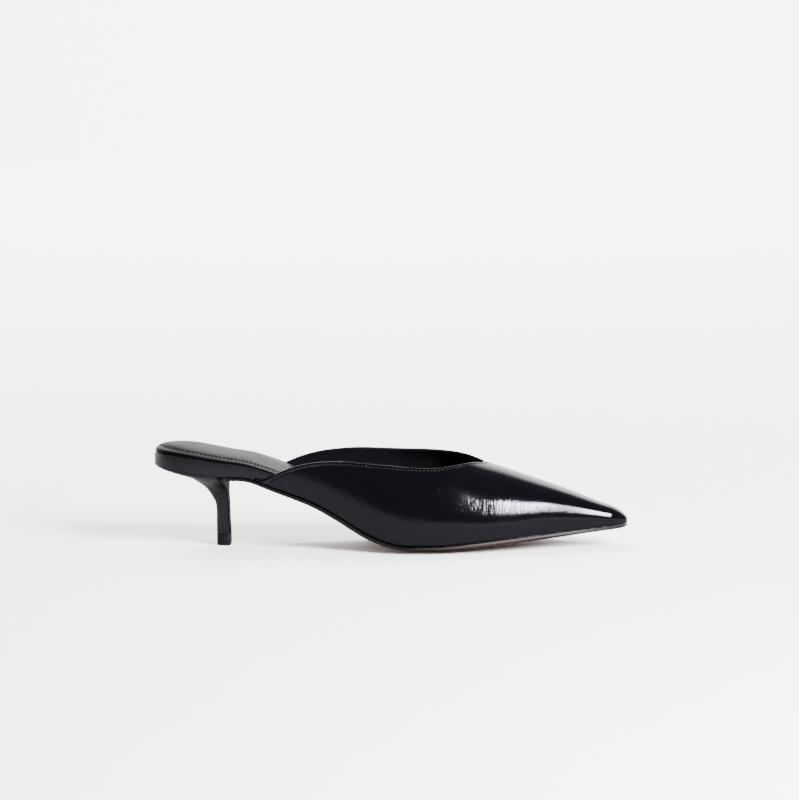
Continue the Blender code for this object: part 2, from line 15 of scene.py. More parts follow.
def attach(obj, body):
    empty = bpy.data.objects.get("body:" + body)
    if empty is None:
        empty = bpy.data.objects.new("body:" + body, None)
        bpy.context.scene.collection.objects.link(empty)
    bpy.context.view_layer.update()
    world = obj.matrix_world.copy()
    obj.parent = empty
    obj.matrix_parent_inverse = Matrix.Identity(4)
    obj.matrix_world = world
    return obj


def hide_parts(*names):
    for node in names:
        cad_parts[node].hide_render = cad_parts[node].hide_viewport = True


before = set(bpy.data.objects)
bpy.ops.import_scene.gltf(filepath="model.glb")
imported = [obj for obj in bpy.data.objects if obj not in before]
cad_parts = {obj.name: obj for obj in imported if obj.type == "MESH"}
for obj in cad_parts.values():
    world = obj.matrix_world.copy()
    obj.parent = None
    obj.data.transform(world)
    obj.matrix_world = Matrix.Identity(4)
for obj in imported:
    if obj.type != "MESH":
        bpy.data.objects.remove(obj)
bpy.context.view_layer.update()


# Upper
# The real upper is one piece of polished black calf with a black leather lining, pulled over the last
# and lasted under the board. Its topline is folded over and stitched, and it is open at the back.
LENGTH = 0.2564
HEEL_HEIGHT = 0.0434
TOE_SPRING = 0.0102
INSTEP_HEIGHT = 0.0461
VAMP_LENGTH = 0.0778
TOE_HEIGHT = 0.0140
SEAT_WIDTH = 0.052
WAIST_WIDTH = 0.047
BALL_WIDTH = 0.0735
TOE_WIDTH = 0.0140
NOSE_LENGTH = 0.0085
HEEL_SETBACK = 0.0371
UPPER_BACK = 0.0575
WALL = 0.0014
GAP = 0.0003
FEATHER_RADIUS = 0.0016
SOLE_THICKNESS = 0.0026
OUTER = -1
INNER = 1

# share of LENGTH, width that the row follows, outer half, inner half
OUTLINE = [
    (0.00, SEAT_WIDTH, 0.500, 0.500),
    (0.06, SEAT_WIDTH, 0.500, 0.500),
    (0.12, SEAT_WIDTH, 0.500, 0.498),
    (0.20, SEAT_WIDTH, 0.487, 0.477),
    (0.28, WAIST_WIDTH, 0.526, 0.487),
    (0.36, WAIST_WIDTH, 0.543, 0.460),
    (0.43, BALL_WIDTH, 0.386, 0.310),
    (0.50, BALL_WIDTH, 0.450, 0.375),
    (0.56, BALL_WIDTH, 0.490, 0.437),
    (0.62, BALL_WIDTH, 0.492, 0.477),
    (0.68, BALL_WIDTH, 0.452, 0.468),
    (0.76, BALL_WIDTH, 0.362, 0.394),
    (0.84, BALL_WIDTH, 0.256, 0.284),
    (0.92, TOE_WIDTH, 0.800, 0.880),
    (1.00, TOE_WIDTH, 0.350, 0.370),
]
# share of LENGTH, share of HEEL_HEIGHT, share of TOE_SPRING
SOLE_LINE = [
    (0.000, 1.000, 0.00),
    (0.060, 0.957, 0.00),
    (0.120, 0.913, 0.00),
    (0.170, 0.885, 0.00),
    (0.205, 0.869, 0.00),
    (0.240, 0.795, 0.00),
    (0.300, 0.656, 0.00),
    (0.340, 0.560, 0.00),
    (0.380, 0.435, 0.00),
    (0.420, 0.291, 0.00),
    (0.460, 0.150, 0.00),
    (0.500, 0.052, 0.00),
    (0.540, 0.000, 0.00),
    (0.575, 0.000, -0.02),
    (0.610, 0.000, 0.00),
    (0.690, 0.000, 0.15),
    (0.760, 0.000, 0.32),
    (0.840, 0.000, 0.53),
    (0.920, 0.000, 0.77),
    (1.000, 0.000, 1.00),
]
# share of LENGTH, then shares of SOLE_THICKNESS: thickness, rise of the bottom and of the top at the edge
SOLE_FORM = [
    (0.00, 0.62, 0.00, 0.00),
    (0.20, 0.62, 0.05, 0.05),
    (0.30, 0.70, 0.08, 0.13),
    (0.38, 0.76, 0.12, 0.30),
    (0.45, 0.80, 0.28, 0.50),
    (0.50, 0.88, 0.60, 0.60),
    (0.56, 0.96, 1.00, 0.66),
    (0.61, 0.98, 1.05, 0.66),
    (0.70, 1.00, 0.72, 0.60),
    (0.85, 0.85, 0.35, 0.40),
    (1.00, 0.50, 0.05, 0.10),
]
# share of LENGTH, ridge over INSTEP_HEIGHT, fullness, side bulge and inward lean over BALL_WIDTH
SECTIONS = [
    (0.220, 1.850, 2.3, 0.010, 0.000),
    (0.311, 1.755, 2.3, 0.010, 0.000),
    (0.370, 1.655, 2.3, 0.012, 0.005),
    (0.430, 1.545, 2.3, 0.018, 0.015),
    (0.486, 1.420, 2.3, 0.024, 0.025),
    (0.545, 1.300, 2.3, 0.028, 0.032),
    (0.600, 1.192, 2.3, 0.030, 0.035),
    (0.650, 1.090, 2.35, 0.024, 0.034),
    (0.697, 0.978, 2.35, 0.020, 0.030),
    (0.735, 0.912, 2.37, 0.018, 0.026),
    (0.780, 0.828, 2.45, 0.016, 0.020),
    (0.830, 0.735, 2.65, 0.014, 0.013),
    (0.880, 0.637, 2.75, 0.011, 0.007),
    (0.940, 0.512, 2.8, 0.008, 0.002),
    (1.000, 0.400, 2.6, 0.004, 0.000),
]
# share of the way from throat to rear end, how far up the section the edge lies: outer, inner
TOPLINE = [
    (0.00, 1.000, 1.000),
    (0.05, 0.955, 0.945),
    (0.10, 0.893, 0.888),
    (0.15, 0.798, 0.828),
    (0.20, 0.705, 0.766),
    (0.30, 0.586, 0.672),
    (0.40, 0.522, 0.590),
    (0.50, 0.473, 0.516),
    (0.60, 0.403, 0.435),
    (0.70, 0.320, 0.335),
    (0.80, 0.220, 0.221),
    (0.90, 0.104, 0.096),
    (0.95, 0.035, 0.030),
    (0.975, 0.006, 0.005),
    (1.00, 0.001, 0.001),
]
# Creases of the leather on the outer side, where the foot flexes: station and height of the middle,
# half length, half width, depth, and lean forward in radians; a negative depth is a ridge
CREASES = [
    (0.1335, 0.0345, 0.0075, 0.0012, 0.00022, -0.22),
    (0.1362, 0.0340, 0.0080, 0.0010, -0.00014, -0.22),
    (0.1390, 0.0330, 0.0070, 0.0012, 0.00016, -0.18),
    (0.1500, 0.0370, 0.0085, 0.0012, 0.00003, -0.05),
    (0.1540, 0.0365, 0.0090, 0.0013, 0.00004, 0.02),
    (0.1585, 0.0355, 0.0085, 0.0012, 0.00003, 0.05),
]


def spline(table, column):
    """Natural cubic spline through a column of a table, over its first column."""
    x = np.array([row[0] for row in table], float)
    y = np.array([column(row) for row in table], float)
    step = np.diff(x)
    rise = np.diff(y) / step
    size = len(x)
    system = np.eye(size)
    target = np.zeros(size)
    for k in range(1, size - 1):
        system[k, k - 1:k + 2] = step[k - 1], 2 * (step[k - 1] + step[k]), step[k]
        target[k] = 6 * (rise[k] - rise[k - 1])
    bend = np.linalg.solve(system, target)

    def value(at):
        at = np.clip(np.asarray(at, float), x[0], x[-1])
        k = np.clip(np.searchsorted(x, at, side="right") - 1, 0, size - 2)
        a = (x[k + 1] - at) / step[k]
        b = (at - x[k]) / step[k]
        curved = ((a ** 3 - a) * bend[k] + (b ** 3 - b) * bend[k + 1]) * step[k] ** 2 / 6
        return a * y[k] + b * y[k + 1] + curved

    return value


def smooth_step(at, start, end):
    share = np.clip((np.asarray(at, float) - start) / (end - start), 0, 1)
    return share * share * (3 - 2 * share)


def round_end(at, start, end):
    """1 before start, then a quarter of an ellipse down to 0 at end."""
    share = np.clip((np.asarray(at, float) - start) / (end - start), 0, 1)
    return np.sqrt(1 - share * share)


outline = {OUTER: spline(OUTLINE, lambda row: row[1] * row[2]), INNER: spline(OUTLINE, lambda row: row[1] * row[3])}
topline = {OUTER: spline(TOPLINE, lambda row: row[1]), INNER: spline(TOPLINE, lambda row: row[2])}
sole_line_raw = spline(SOLE_LINE, lambda row: HEEL_HEIGHT * row[1] + TOE_SPRING * row[2])
sole_thickness = spline(SOLE_FORM, lambda row: SOLE_THICKNESS * row[1])
bottom_rise = spline(SOLE_FORM, lambda row: SOLE_THICKNESS * row[2])
top_rise = spline(SOLE_FORM, lambda row: SOLE_THICKNESS * row[3])
ridge_raw = spline(SECTIONS, lambda row: INSTEP_HEIGHT * row[1])
fullness = spline(SECTIONS, lambda row: row[2])
side_bulge = spline(SECTIONS, lambda row: BALL_WIDTH * row[3])
ridge_lean = spline(SECTIONS, lambda row: BALL_WIDTH * row[4])


def half_width(s, side, grow=0.0, front=LENGTH):
    """Half width of the last bottom, grown sideways and closed by a nose at front."""
    return (outline[side](s / LENGTH) + grow) * round_end(s, front - NOSE_LENGTH, front)


def sole_line(s):
    return np.maximum(sole_line_raw(s / LENGTH), 0)


def sole_top(s, share):
    """Top of the outsole, share being the way from the middle to the edge."""
    return sole_line(s) + sole_thickness(s / LENGTH) + top_rise(s / LENGTH) * share ** 2


def upper_wall(s, side, up):
    """Outer face: across = lean + (w - lean) cos^(2/n) + bulge sin 2t, z = low + (high - low) sin^(2/n)."""
    w = half_width(s, side, WALL + GAP)
    nose = round_end(s, LENGTH - NOSE_LENGTH, LENGTH)
    low = sole_top(s, 1.0) + GAP + FEATHER_RADIUS
    high = TOE_HEIGHT + (ridge_raw(s / LENGTH) - TOE_HEIGHT) * nose
    lean = side * ridge_lean(s / LENGTH)
    turn = up * math.pi / 2
    power = 2 / fullness(s / LENGTH)
    across = lean + (w - lean) * np.cos(turn) ** power
    across = across + side_bulge(s / LENGTH) * nose * np.sin(2 * turn) * (1 - 0.35 * up)
    z = low + (high - low) * np.sin(turn) ** power
    return np.stack([s - HEEL_SETBACK + 0 * across, side * across, z], axis=-1)


def upper_fold(s, side, turn, depth):
    """Bend under the feather edge, turn running from 0 under the board to a right angle at the wall."""
    w = half_width(s, side, WALL + GAP - depth, LENGTH - depth)
    narrow = np.minimum(half_width(s, OUTER, WALL + GAP), half_width(s, INNER, WALL + GAP))
    bend = np.maximum(np.minimum(FEATHER_RADIUS, narrow * 0.9) - depth, 0.0001)
    across = np.maximum(w - bend + bend * np.sin(turn), 0)
    z = sole_top(s, 1.0) + GAP + FEATHER_RADIUS - (FEATHER_RADIUS - depth) * np.cos(turn)
    return np.stack([s - HEEL_SETBACK + 0 * across, side * across, z], axis=-1)


def upper_stations(quarter_count, vamp_count, nose_count):
    """Stations from the rear ends to the toe, and the share from throat to rear end for the quarters."""
    throat = LENGTH - VAMP_LENGTH
    q = np.linspace(1, 0, quarter_count + 1)
    quarter = throat - (throat - UPPER_BACK) * q * q / (q + 0.3) * 1.3
    nose = LENGTH - NOSE_LENGTH
    along = np.linspace(0, 1, vamp_count + 1)[1:]
    vamp = throat + (nose - throat) * (0.3 * along + 0.7 * along ** 1.5)
    turn = np.linspace(0, math.pi / 2, nose_count + 1)[1:]
    return np.concatenate([quarter, vamp, nose + NOSE_LENGTH * np.sin(turn)]), q


def unit(vectors):
    return vectors / np.maximum(np.linalg.norm(vectors, axis=-1, keepdims=True), 1e-12)


def normals_of(grid):
    """Unit normals of a grid of points, turned away from the shoe's middle line just above the floor."""
    normal = unit(np.cross(np.gradient(grid, axis=0), np.gradient(grid, axis=1)))
    outward = grid * np.array([0, 1, 1]) + np.array([0.006, 0, -0.010])
    return normal * np.where(np.sum(normal * outward, axis=-1, keepdims=True) < 0, -1, 1)


def distance_to_line(points, line):
    """Distance from each point to a polyline: its nearest corner first, then the two sides that meet there."""
    flat = points.reshape(-1, 3)
    away = np.empty(len(flat))
    for start in range(0, len(flat), 4000):
        block = flat[start:start + 4000]
        near = ((block[:, None, :] - line[None, :, :]) ** 2).sum(axis=2).argmin(axis=1)
        best = np.full(len(block), np.inf)
        for one, other in ((near, np.maximum(near - 1, 0)), (near, np.minimum(near + 1, len(line) - 1))):
            side = line[other] - line[one]
            share = np.sum((block - line[one]) * side, axis=1) / np.maximum(np.sum(side * side, axis=1), 1e-18)
            foot = line[one] + side * np.clip(share, 0, 1)[:, None]
            best = np.minimum(best, np.linalg.norm(block - foot, axis=1))
        away[start:start + 4000] = best
    return away.reshape(points.shape[:-1])


def grid_faces(rows, columns, first=0, around=False):
    """Quads of a grid of points numbered row by row; around joins the last column to the first."""
    number = first + np.arange(rows * columns).reshape(rows, columns)
    if around:
        number = np.concatenate([number, number[:, :1]], axis=1)
    return np.stack([number[:-1, :-1], number[1:, :-1], number[1:, 1:], number[:-1, 1:]], axis=-1).reshape(-1, 4)


def sewn(name, grids, kinds, materials, caps=()):
    """One closed mesh from grids whose borders meet; kinds are their material places, caps more faces."""
    faces = []
    kind = []
    first = 0
    for grid, which in zip(grids, kinds):
        quads = grid_faces(grid.shape[0], grid.shape[1], first)
        faces += quads.tolist()
        kind += list(which) if np.ndim(which) else [which] * len(quads)
        first += grid.shape[0] * grid.shape[1]
    data = bpy.data.meshes.new(name)
    data.from_pydata(np.concatenate([grid.reshape(-1, 3) for grid in grids]).tolist(), [], faces + list(caps))
    data.polygons.foreach_set("material_index", np.array(kind + [0] * len(caps), np.int32))
    for material in materials:
        data.materials.append(material)
    work = bmesh.new()
    work.from_mesh(data)
    bmesh.ops.remove_doubles(work, verts=work.verts, dist=2e-6)
    bmesh.ops.dissolve_degenerate(work, edges=work.edges, dist=1e-6)
    bmesh.ops.recalc_face_normals(work, faces=work.faces)
    work.to_mesh(data)
    work.free()
    data.shade_smooth()
    thing = bpy.data.objects.new(name, data)
    bpy.context.scene.collection.objects.link(thing)
    return thing


def quarter_station(q):
    """Station at a share of the way from the throat to the rear ends, closest together at the throat."""
    throat = LENGTH - VAMP_LENGTH
    ease = 0.3
    return throat - (throat - UPPER_BACK) * q * q / (q + ease) * (1 + ease)


def edge_line(side, count):
    """Points of the topline from the throat to the rear end."""
    q = np.linspace(0, 1, count)
    top = topline[side](q)
    top[0] = 1.0
    return upper_wall(quarter_station(q), side, top)


edge_points = np.concatenate([edge_line(OUTER, 900)[::-1], edge_line(INNER, 900)[1:]])
FOLD_ROLL = 0.00014         # how far the folded edge stands proud of the leather beside it
FOLD_WIDTH = 0.0012
SEAM_DEPTH = 0.00010        # how deep the topline's stitching draws the leather in
STITCH_INSET = 0.0019       # topline to its stitches
QUARTER_COUNT = 200
VAMP_COUNT = 120
NOSE_COUNT = 26


def upper_side(side):
    """Stations, height shares and outer points of one side, rows closest at the topline."""
    q = np.linspace(1, 0, QUARTER_COUNT + 1)
    throat = LENGTH - VAMP_LENGTH
    nose = LENGTH - NOSE_LENGTH
    along = np.linspace(0, 1, VAMP_COUNT + 1)[1:]
    turn = np.linspace(0, math.pi / 2, NOSE_COUNT + 1)[1:]
    vamp = throat + (nose - throat) * (0.3 * along + 0.7 * along ** 1.5)
    s = np.concatenate([quarter_station(q), vamp, nose + NOSE_LENGTH * np.sin(turn)])
    top = np.ones(len(s))
    top[:len(q)] = topline[side](q)
    top[len(q) - 1] = 1.0
    sample = np.linspace(0, 1, 160)
    path = upper_wall(s[:, None], side, sample[None] * top[:, None])
    step = np.linalg.norm(np.diff(path, axis=1), axis=2)
    arc = np.concatenate([np.zeros((len(s), 1)), np.cumsum(step, axis=1)], axis=1)
    whole = arc[:, -1]
    fine = np.array([0, 0.12, 0.30, 0.52, 0.80, 1.15, 1.55, 2.0]) * 0.001
    near = fine[None] * np.minimum(1, whole / 0.008)[:, None]
    rest = near[:, -1:] + (whole[:, None] - near[:, -1:]) * np.linspace(0, 1, 57)[None, 1:]
    from_top = np.concatenate([near, rest], axis=1)[:, ::-1]
    up = np.array([np.interp(whole[k] - from_top[k], arc[k], sample) * top[k] for k in range(len(s))])
    return s, upper_wall(s[:, None], side, up)


def crease_height(points):
    """Troughs and ridges of CREASES at points of the outer side, as a height off the smooth leather."""
    height = np.zeros(points.shape[:-1])
    for at, level, long, wide, depth, lean in CREASES:
        x = points[..., 0] + HEEL_SETBACK - at
        z = points[..., 2] - level
        across = x * math.cos(lean) - z * math.sin(lean)
        along = x * math.sin(lean) + z * math.cos(lean)
        height -= depth * np.exp(-(across / wide) ** 2 - (along / long) ** 2)
    return height


def upper_mesh(materials):
    """The whole upper: two sides of an outer face and a lining that meet in a rounded topline."""
    halves = {side: upper_side(side) for side in (OUTER, INNER)}
    normal = {side: normals_of(halves[side][1]) for side in halves}
    shared = unit(normal[OUTER][:, -1] + normal[INNER][:, -1])
    grids = []
    for side in (OUTER, INNER):
        s, outside = halves[side]
        throat = QUARTER_COUNT + 1
        normal[side][throat - 1:, -1] = shared[throat - 1:]
        normal[side][-1] = (1, 0, 0)
        away = distance_to_line(outside, edge_points)
        away[:throat, -1] = 0
        half = WALL / 2
        rounded = half * np.sqrt(1 - (1 - np.clip(away / half, 0, 1)) ** 2)
        roll = FOLD_ROLL * smooth_step(away, 0, half) * (1 - smooth_step(away, FOLD_WIDTH, STITCH_INSET))
        seam = SEAM_DEPTH * np.exp(-((away - STITCH_INSET) / 0.0005) ** 2)
        crease = crease_height(outside) if side == OUTER else 0
        face = outside + normal[side] * (rounded - half + roll - seam + crease)[..., None]
        lining = outside - normal[side] * (half + rounded)[..., None]
        nose = LENGTH - NOSE_LENGTH
        s_in = np.where(s > nose, s - WALL * (s - nose) / NOSE_LENGTH, s)
        turns = np.linspace(0, math.pi / 2, 8)[:-1]
        under = np.stack([upper_fold(s, side, turn, 0.0) for turn in turns], axis=1)
        inside = np.stack([upper_fold(s_in, side, turn, WALL) for turn in turns], axis=1)
        outer_grid = np.concatenate([under, face], axis=1)
        inner_grid = np.concatenate([inside, lining], axis=1)
        rear = np.stack([outer_grid[0], inner_grid[0]])
        foot = np.stack([outer_grid[:, 0], inner_grid[:, 0]], axis=1)
        grids += [outer_grid, inner_grid, rear, foot]
    return sewn("upper_shell", grids, [0, 1, 0, 1] * 2, materials)


def leather_grain():
    """Node group of fine leather: Grain is the size of its pebbles in metres.

    Height is the grain for a bump, Uneven a slow drift of gloss from 0 to 1.
    """
    group = bpy.data.node_groups.new("leather_grain", "ShaderNodeTree")
    group.interface.new_socket("Grain", in_out="INPUT", socket_type="NodeSocketFloat")
    group.interface.new_socket("Height", in_out="OUTPUT", socket_type="NodeSocketFloat")
    group.interface.new_socket("Uneven", in_out="OUTPUT", socket_type="NodeSocketFloat")
    nodes, links = group.nodes, group.links
    given = nodes.new("NodeGroupInput")
    result = nodes.new("NodeGroupOutput")
    place = nodes.new("ShaderNodeTexCoord")
    scale = nodes.new("ShaderNodeMath")
    scale.operation = "DIVIDE"
    scale.inputs[0].default_value = 1.0
    links.new(given.outputs["Grain"], scale.inputs[1])
    pebble = nodes.new("ShaderNodeTexVoronoi")
    pebble.feature = "SMOOTH_F1"
    links.new(place.outputs["Object"], pebble.inputs["Vector"])
    links.new(scale.outputs["Value"], pebble.inputs["Scale"])
    drift = nodes.new("ShaderNodeTexNoise")
    drift.inputs["Scale"].default_value = 60.0
    drift.inputs["Detail"].default_value = 3.0
    links.new(place.outputs["Object"], drift.inputs["Vector"])
    sum_of = nodes.new("ShaderNodeMath")
    sum_of.operation = "MULTIPLY_ADD"
    sum_of.inputs[1].default_value = 0.25
    links.new(pebble.outputs["Distance"], sum_of.inputs[0])
    links.new(drift.outputs["Fac"], sum_of.inputs[2])
    spread = nodes.new("ShaderNodeMapRange")
    spread.inputs["From Min"].default_value = 0.35
    spread.inputs["From Max"].default_value = 0.65
    links.new(drift.outputs["Fac"], spread.inputs["Value"])
    links.new(sum_of.outputs["Value"], result.inputs["Height"])
    links.new(spread.outputs["Result"], result.inputs["Uneven"])
    return group


POLISH = 0.58
POLISH_TINT = (0.92, 0.88, 1.0)   # the wax's blue cast


def flex_crinkle():
    """Node group of the crinkled leather round a Centre, fading out at Reach; Fineness is creases a metre.

    Height is 0 outside the patch and up to 1 in it; the creases stand upright.
    """
    group = bpy.data.node_groups.new("flex_crinkle", "ShaderNodeTree")
    for name, kind in (("Centre", "NodeSocketVector"), ("Reach", "NodeSocketVector"), ("Fineness", "NodeSocketFloat")):
        group.interface.new_socket(name, in_out="INPUT", socket_type=kind)
    group.interface.new_socket("Height", in_out="OUTPUT", socket_type="NodeSocketFloat")
    nodes, links = group.nodes, group.links
    given = nodes.new("NodeGroupInput")
    result = nodes.new("NodeGroupOutput")
    place = nodes.new("ShaderNodeTexCoord")
    offset = nodes.new("ShaderNodeVectorMath")
    offset.operation = "SUBTRACT"
    links.new(place.outputs["Object"], offset.inputs[0])
    links.new(given.outputs["Centre"], offset.inputs[1])
    scaled = nodes.new("ShaderNodeVectorMath")
    scaled.operation = "DIVIDE"
    links.new(offset.outputs["Vector"], scaled.inputs[0])
    links.new(given.outputs["Reach"], scaled.inputs[1])
    away = nodes.new("ShaderNodeVectorMath")
    away.operation = "LENGTH"
    links.new(scaled.outputs["Vector"], away.inputs[0])
    patch = nodes.new("ShaderNodeMapRange")
    patch.interpolation_type = "SMOOTHSTEP"
    patch.inputs["From Min"].default_value = 1.0
    patch.inputs["From Max"].default_value = 0.2
    links.new(away.outputs["Value"], patch.inputs["Value"])
    upright = nodes.new("ShaderNodeMapping")
    upright.inputs["Rotation"].default_value = (0.0, 0.35, 0.0)
    upright.inputs["Scale"].default_value = (1.0, 0.45, 0.30)
    links.new(place.outputs["Object"], upright.inputs["Vector"])
    creases = nodes.new("ShaderNodeTexNoise")
    creases.inputs["Detail"].default_value = 3.0
    creases.inputs["Roughness"].default_value = 0.55
    creases.inputs["Distortion"].default_value = 0.8
    links.new(upright.outputs["Vector"], creases.inputs["Vector"])
    links.new(given.outputs["Fineness"], creases.inputs["Scale"])
    height = nodes.new("ShaderNodeMath")
    height.operation = "MULTIPLY"
    links.new(creases.outputs["Fac"], height.inputs[0])
    links.new(patch.outputs["Result"], height.inputs[1])
    links.new(height.outputs["Value"], result.inputs["Height"])
    return group


grain_group = leather_grain()


def leather(name, colour, least, most, grain, bump, polish=POLISH):
    """Leather with a roughness that drifts from least to most, pebbles of a size grain and a bump's height."""
    material = bpy.data.materials.new(name)
    material.use_nodes = True
    nodes, links = material.node_tree.nodes, material.node_tree.links
    shader = nodes["Principled BSDF"]
    shader.inputs["Base Color"].default_value = (*colour, 1.0)
    shader.inputs["Specular IOR Level"].default_value = polish
    shader.inputs["Specular Tint"].default_value = (*POLISH_TINT, 1.0)
    texture = nodes.new("ShaderNodeGroup")
    texture.node_tree = grain_group
    texture.inputs["Grain"].default_value = grain
    gloss = nodes.new("ShaderNodeMapRange")
    gloss.inputs["To Min"].default_value = least
    gloss.inputs["To Max"].default_value = most
    links.new(texture.outputs["Uneven"], gloss.inputs["Value"])
    links.new(gloss.outputs["Result"], shader.inputs["Roughness"])
    raised = nodes.new("ShaderNodeBump")
    raised.inputs["Distance"].default_value = bump
    links.new(texture.outputs["Height"], raised.inputs["Height"])
    links.new(raised.outputs["Normal"], shader.inputs["Normal"])
    return material


# middle of a crinkled patch, its reach, creases a metre and the bump's height
CRINKLES = [
    ((0.1300, -0.0330, 0.0245), (0.0130, 0.0300, 0.0085), 800.0, 0.00007),
    ((0.1750, -0.0190, 0.0200), (0.0130, 0.0300, 0.0070), 900.0, 0.00014),
    ((0.1180, -0.0300, 0.0360), (0.0100, 0.0300, 0.0120), 700.0, 0.00012),
    ((0.1550, -0.0300, 0.0215), (0.0450, 0.0300, 0.0130), 450.0, 0.00009),
]


def crinkled(material):
    """Adds the patches of CRINKLES to a leather, one bump over the other."""
    nodes, links = material.node_tree.nodes, material.node_tree.links
    below = nodes["Bump"]
    for centre, reach, fineness, depth in CRINKLES:
        patch = nodes.new("ShaderNodeGroup")
        patch.node_tree = crinkle_group
        patch.inputs["Centre"].default_value = centre
        patch.inputs["Reach"].default_value = reach
        patch.inputs["Fineness"].default_value = fineness
        raised = nodes.new("ShaderNodeBump")
        raised.inputs["Distance"].default_value = depth
        links.new(patch.outputs["Height"], raised.inputs["Height"])
        links.new(below.outputs["Normal"], raised.inputs["Normal"])
        below = raised
    links.new(below.outputs["Normal"], nodes["Principled BSDF"].inputs["Normal"])


crinkle_group = flex_crinkle()
upper_leather = leather("upper_leather", (0.0040, 0.0036, 0.0075), 0.08, 0.13, 0.00045, 0.00006)
crinkled(upper_leather)
lining_leather = leather("lining_leather", (0.0110, 0.0110, 0.0150), 0.42, 0.55, 0.00060, 0.00015)
upper = upper_mesh([upper_leather, lining_leather])
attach(upper, "root")
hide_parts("upper")


# Stitches of the topline
# One row of black waxed thread holds the folded edge, about twelve stitches to the inch. Each stitch
# is a short rounded bar that lies half sunk in the leather.
STITCH_PITCH = 0.0021
STITCH_LENGTH = 0.0013
STITCH_RADIUS = 0.00024
STITCH_SINK = 0.00006


def surface_of(thing):
    """Search tree of an object's faces, for laying stitches on it."""
    points = [vertex.co.copy() for vertex in thing.data.vertices]
    return BVHTree.FromPolygons(points, [tuple(face.vertices) for face in thing.data.polygons])


def laid_stitches(name, line, ground, material):
    """Thread bars every STITCH_PITCH along a polyline, laid on the surface ground."""
    arc = np.concatenate([[0], np.cumsum(np.linalg.norm(np.diff(line, axis=0), axis=1))])
    at = np.arange(STITCH_PITCH / 2, arc[-1], STITCH_PITCH)
    shares = np.array([-0.50, -0.47, -0.36, -0.12, 0.12, 0.36, 0.47, 0.50]) * STITCH_LENGTH
    girths = np.array([0.05, 0.50, 0.90, 1.00, 1.00, 0.90, 0.50, 0.05]) * STITCH_RADIUS
    angle = np.linspace(0, 2 * math.pi, 9)[:-1]
    points = []
    for place in at:
        middle = [Vector([np.interp(place + step, arc, line[:, k]) for k in range(3)]) for step in shares]
        for spot, girth, step in zip(middle, girths, shares):
            foot, normal = ground.find_nearest(spot)[:2]
            ahead = (middle[-1] - middle[0]).normalized()
            sideways = ahead.cross(normal).normalized()
            centre = foot + normal * (STITCH_RADIUS * 0.5 - STITCH_SINK - 1.2 * abs(step) ** 2 / STITCH_LENGTH * 0.25)
            points += [tuple(centre + sideways * girth * c + normal * girth * d) for c, d in zip(np.cos(angle), np.sin(angle))]
    rings, around = len(shares), len(angle)
    start = (np.arange(len(at)) * rings * around)[:, None]
    faces = (grid_faces(rings, around, around=True)[None] + start[:, :, None]).reshape(-1, 4).tolist()
    faces += (start + np.arange(around)[::-1]).tolist()
    faces += (start + (rings - 1) * around + np.arange(around)).tolist()
    data = bpy.data.meshes.new(name)
    data.from_pydata(points, [], faces)
    work = bmesh.new()
    work.from_mesh(data)
    bmesh.ops.recalc_face_normals(work, faces=work.faces)
    work.to_mesh(data)
    work.free()
    data.shade_smooth()
    data.materials.append(material)
    thing = bpy.data.objects.new(name, data)
    bpy.context.scene.collection.objects.link(thing)
    return thing


def inset_edge(side, inset, count):
    """Line on the upper's outer face, inset from the topline, from the throat to the rear end."""
    q = np.linspace(0.002, 0.975, count)
    s = quarter_station(q)
    top = topline[side](q)
    here = upper_wall(s, side, top)
    ahead = upper_wall(s + 0.0002, side, top) - here
    below = upper_wall(s, side, np.maximum(top - 0.004, 0)) - here
    tangent = unit(np.gradient(here, axis=0))
    inward = unit(np.cross(np.cross(ahead, below), tangent))
    inward *= np.sign(np.sum(inward * (below + 0.6 * ahead), axis=1, keepdims=True))
    return here + inward * inset


def plain_material(name, colour, roughness):
    material = bpy.data.materials.new(name)
    material.use_nodes = True
    shader = material.node_tree.nodes["Principled BSDF"]
    shader.inputs["Base Color"].default_value = (*colour, 1.0)
    shader.inputs["Roughness"].default_value = roughness
    return material


# The black thread is painted dark grey: a painted glint on the topline's stitches.
thread_painted_glint = plain_material("waxed_thread_painted_glint", (0.070, 0.070, 0.080), 0.28)
stitch_line = np.concatenate([inset_edge(OUTER, STITCH_INSET, 1200)[::-1], inset_edge(INNER, STITCH_INSET, 1200)])
topline_stitches = laid_stitches("topline_stitches", stitch_line, surface_of(upper), thread_painted_glint)
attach(topline_stitches, "root")


# Insole
# A foam pad wrapped in glossy black leather covers the board from the seat to under the vamp. Two rows
# of stitching run round it inside its rounded border. Its top is bare of the lettering in the photo.
BOARD_HEIGHT = 0.0101
INSOLE_EDGE = 0.0012
INSOLE_DOME = 0.0024
INSOLE_INSET = 0.0005
INSOLE_SHARE = 0.93
PAD_END = 0.0180
PAD_EDGE = 0.0040
PAD_FLAT = 0.92
BORDER = 0.0018             # width of the rounded border
BORDER_TUCK = 0.0006        # how far the border is drawn in at its foot
GROOVE_DEPTH = 0.00025
GROOVE_WIDTH = 0.00055
INSOLE_ROWS = (0.0044, 0.0061)  # the two rows of stitches, in from the outline
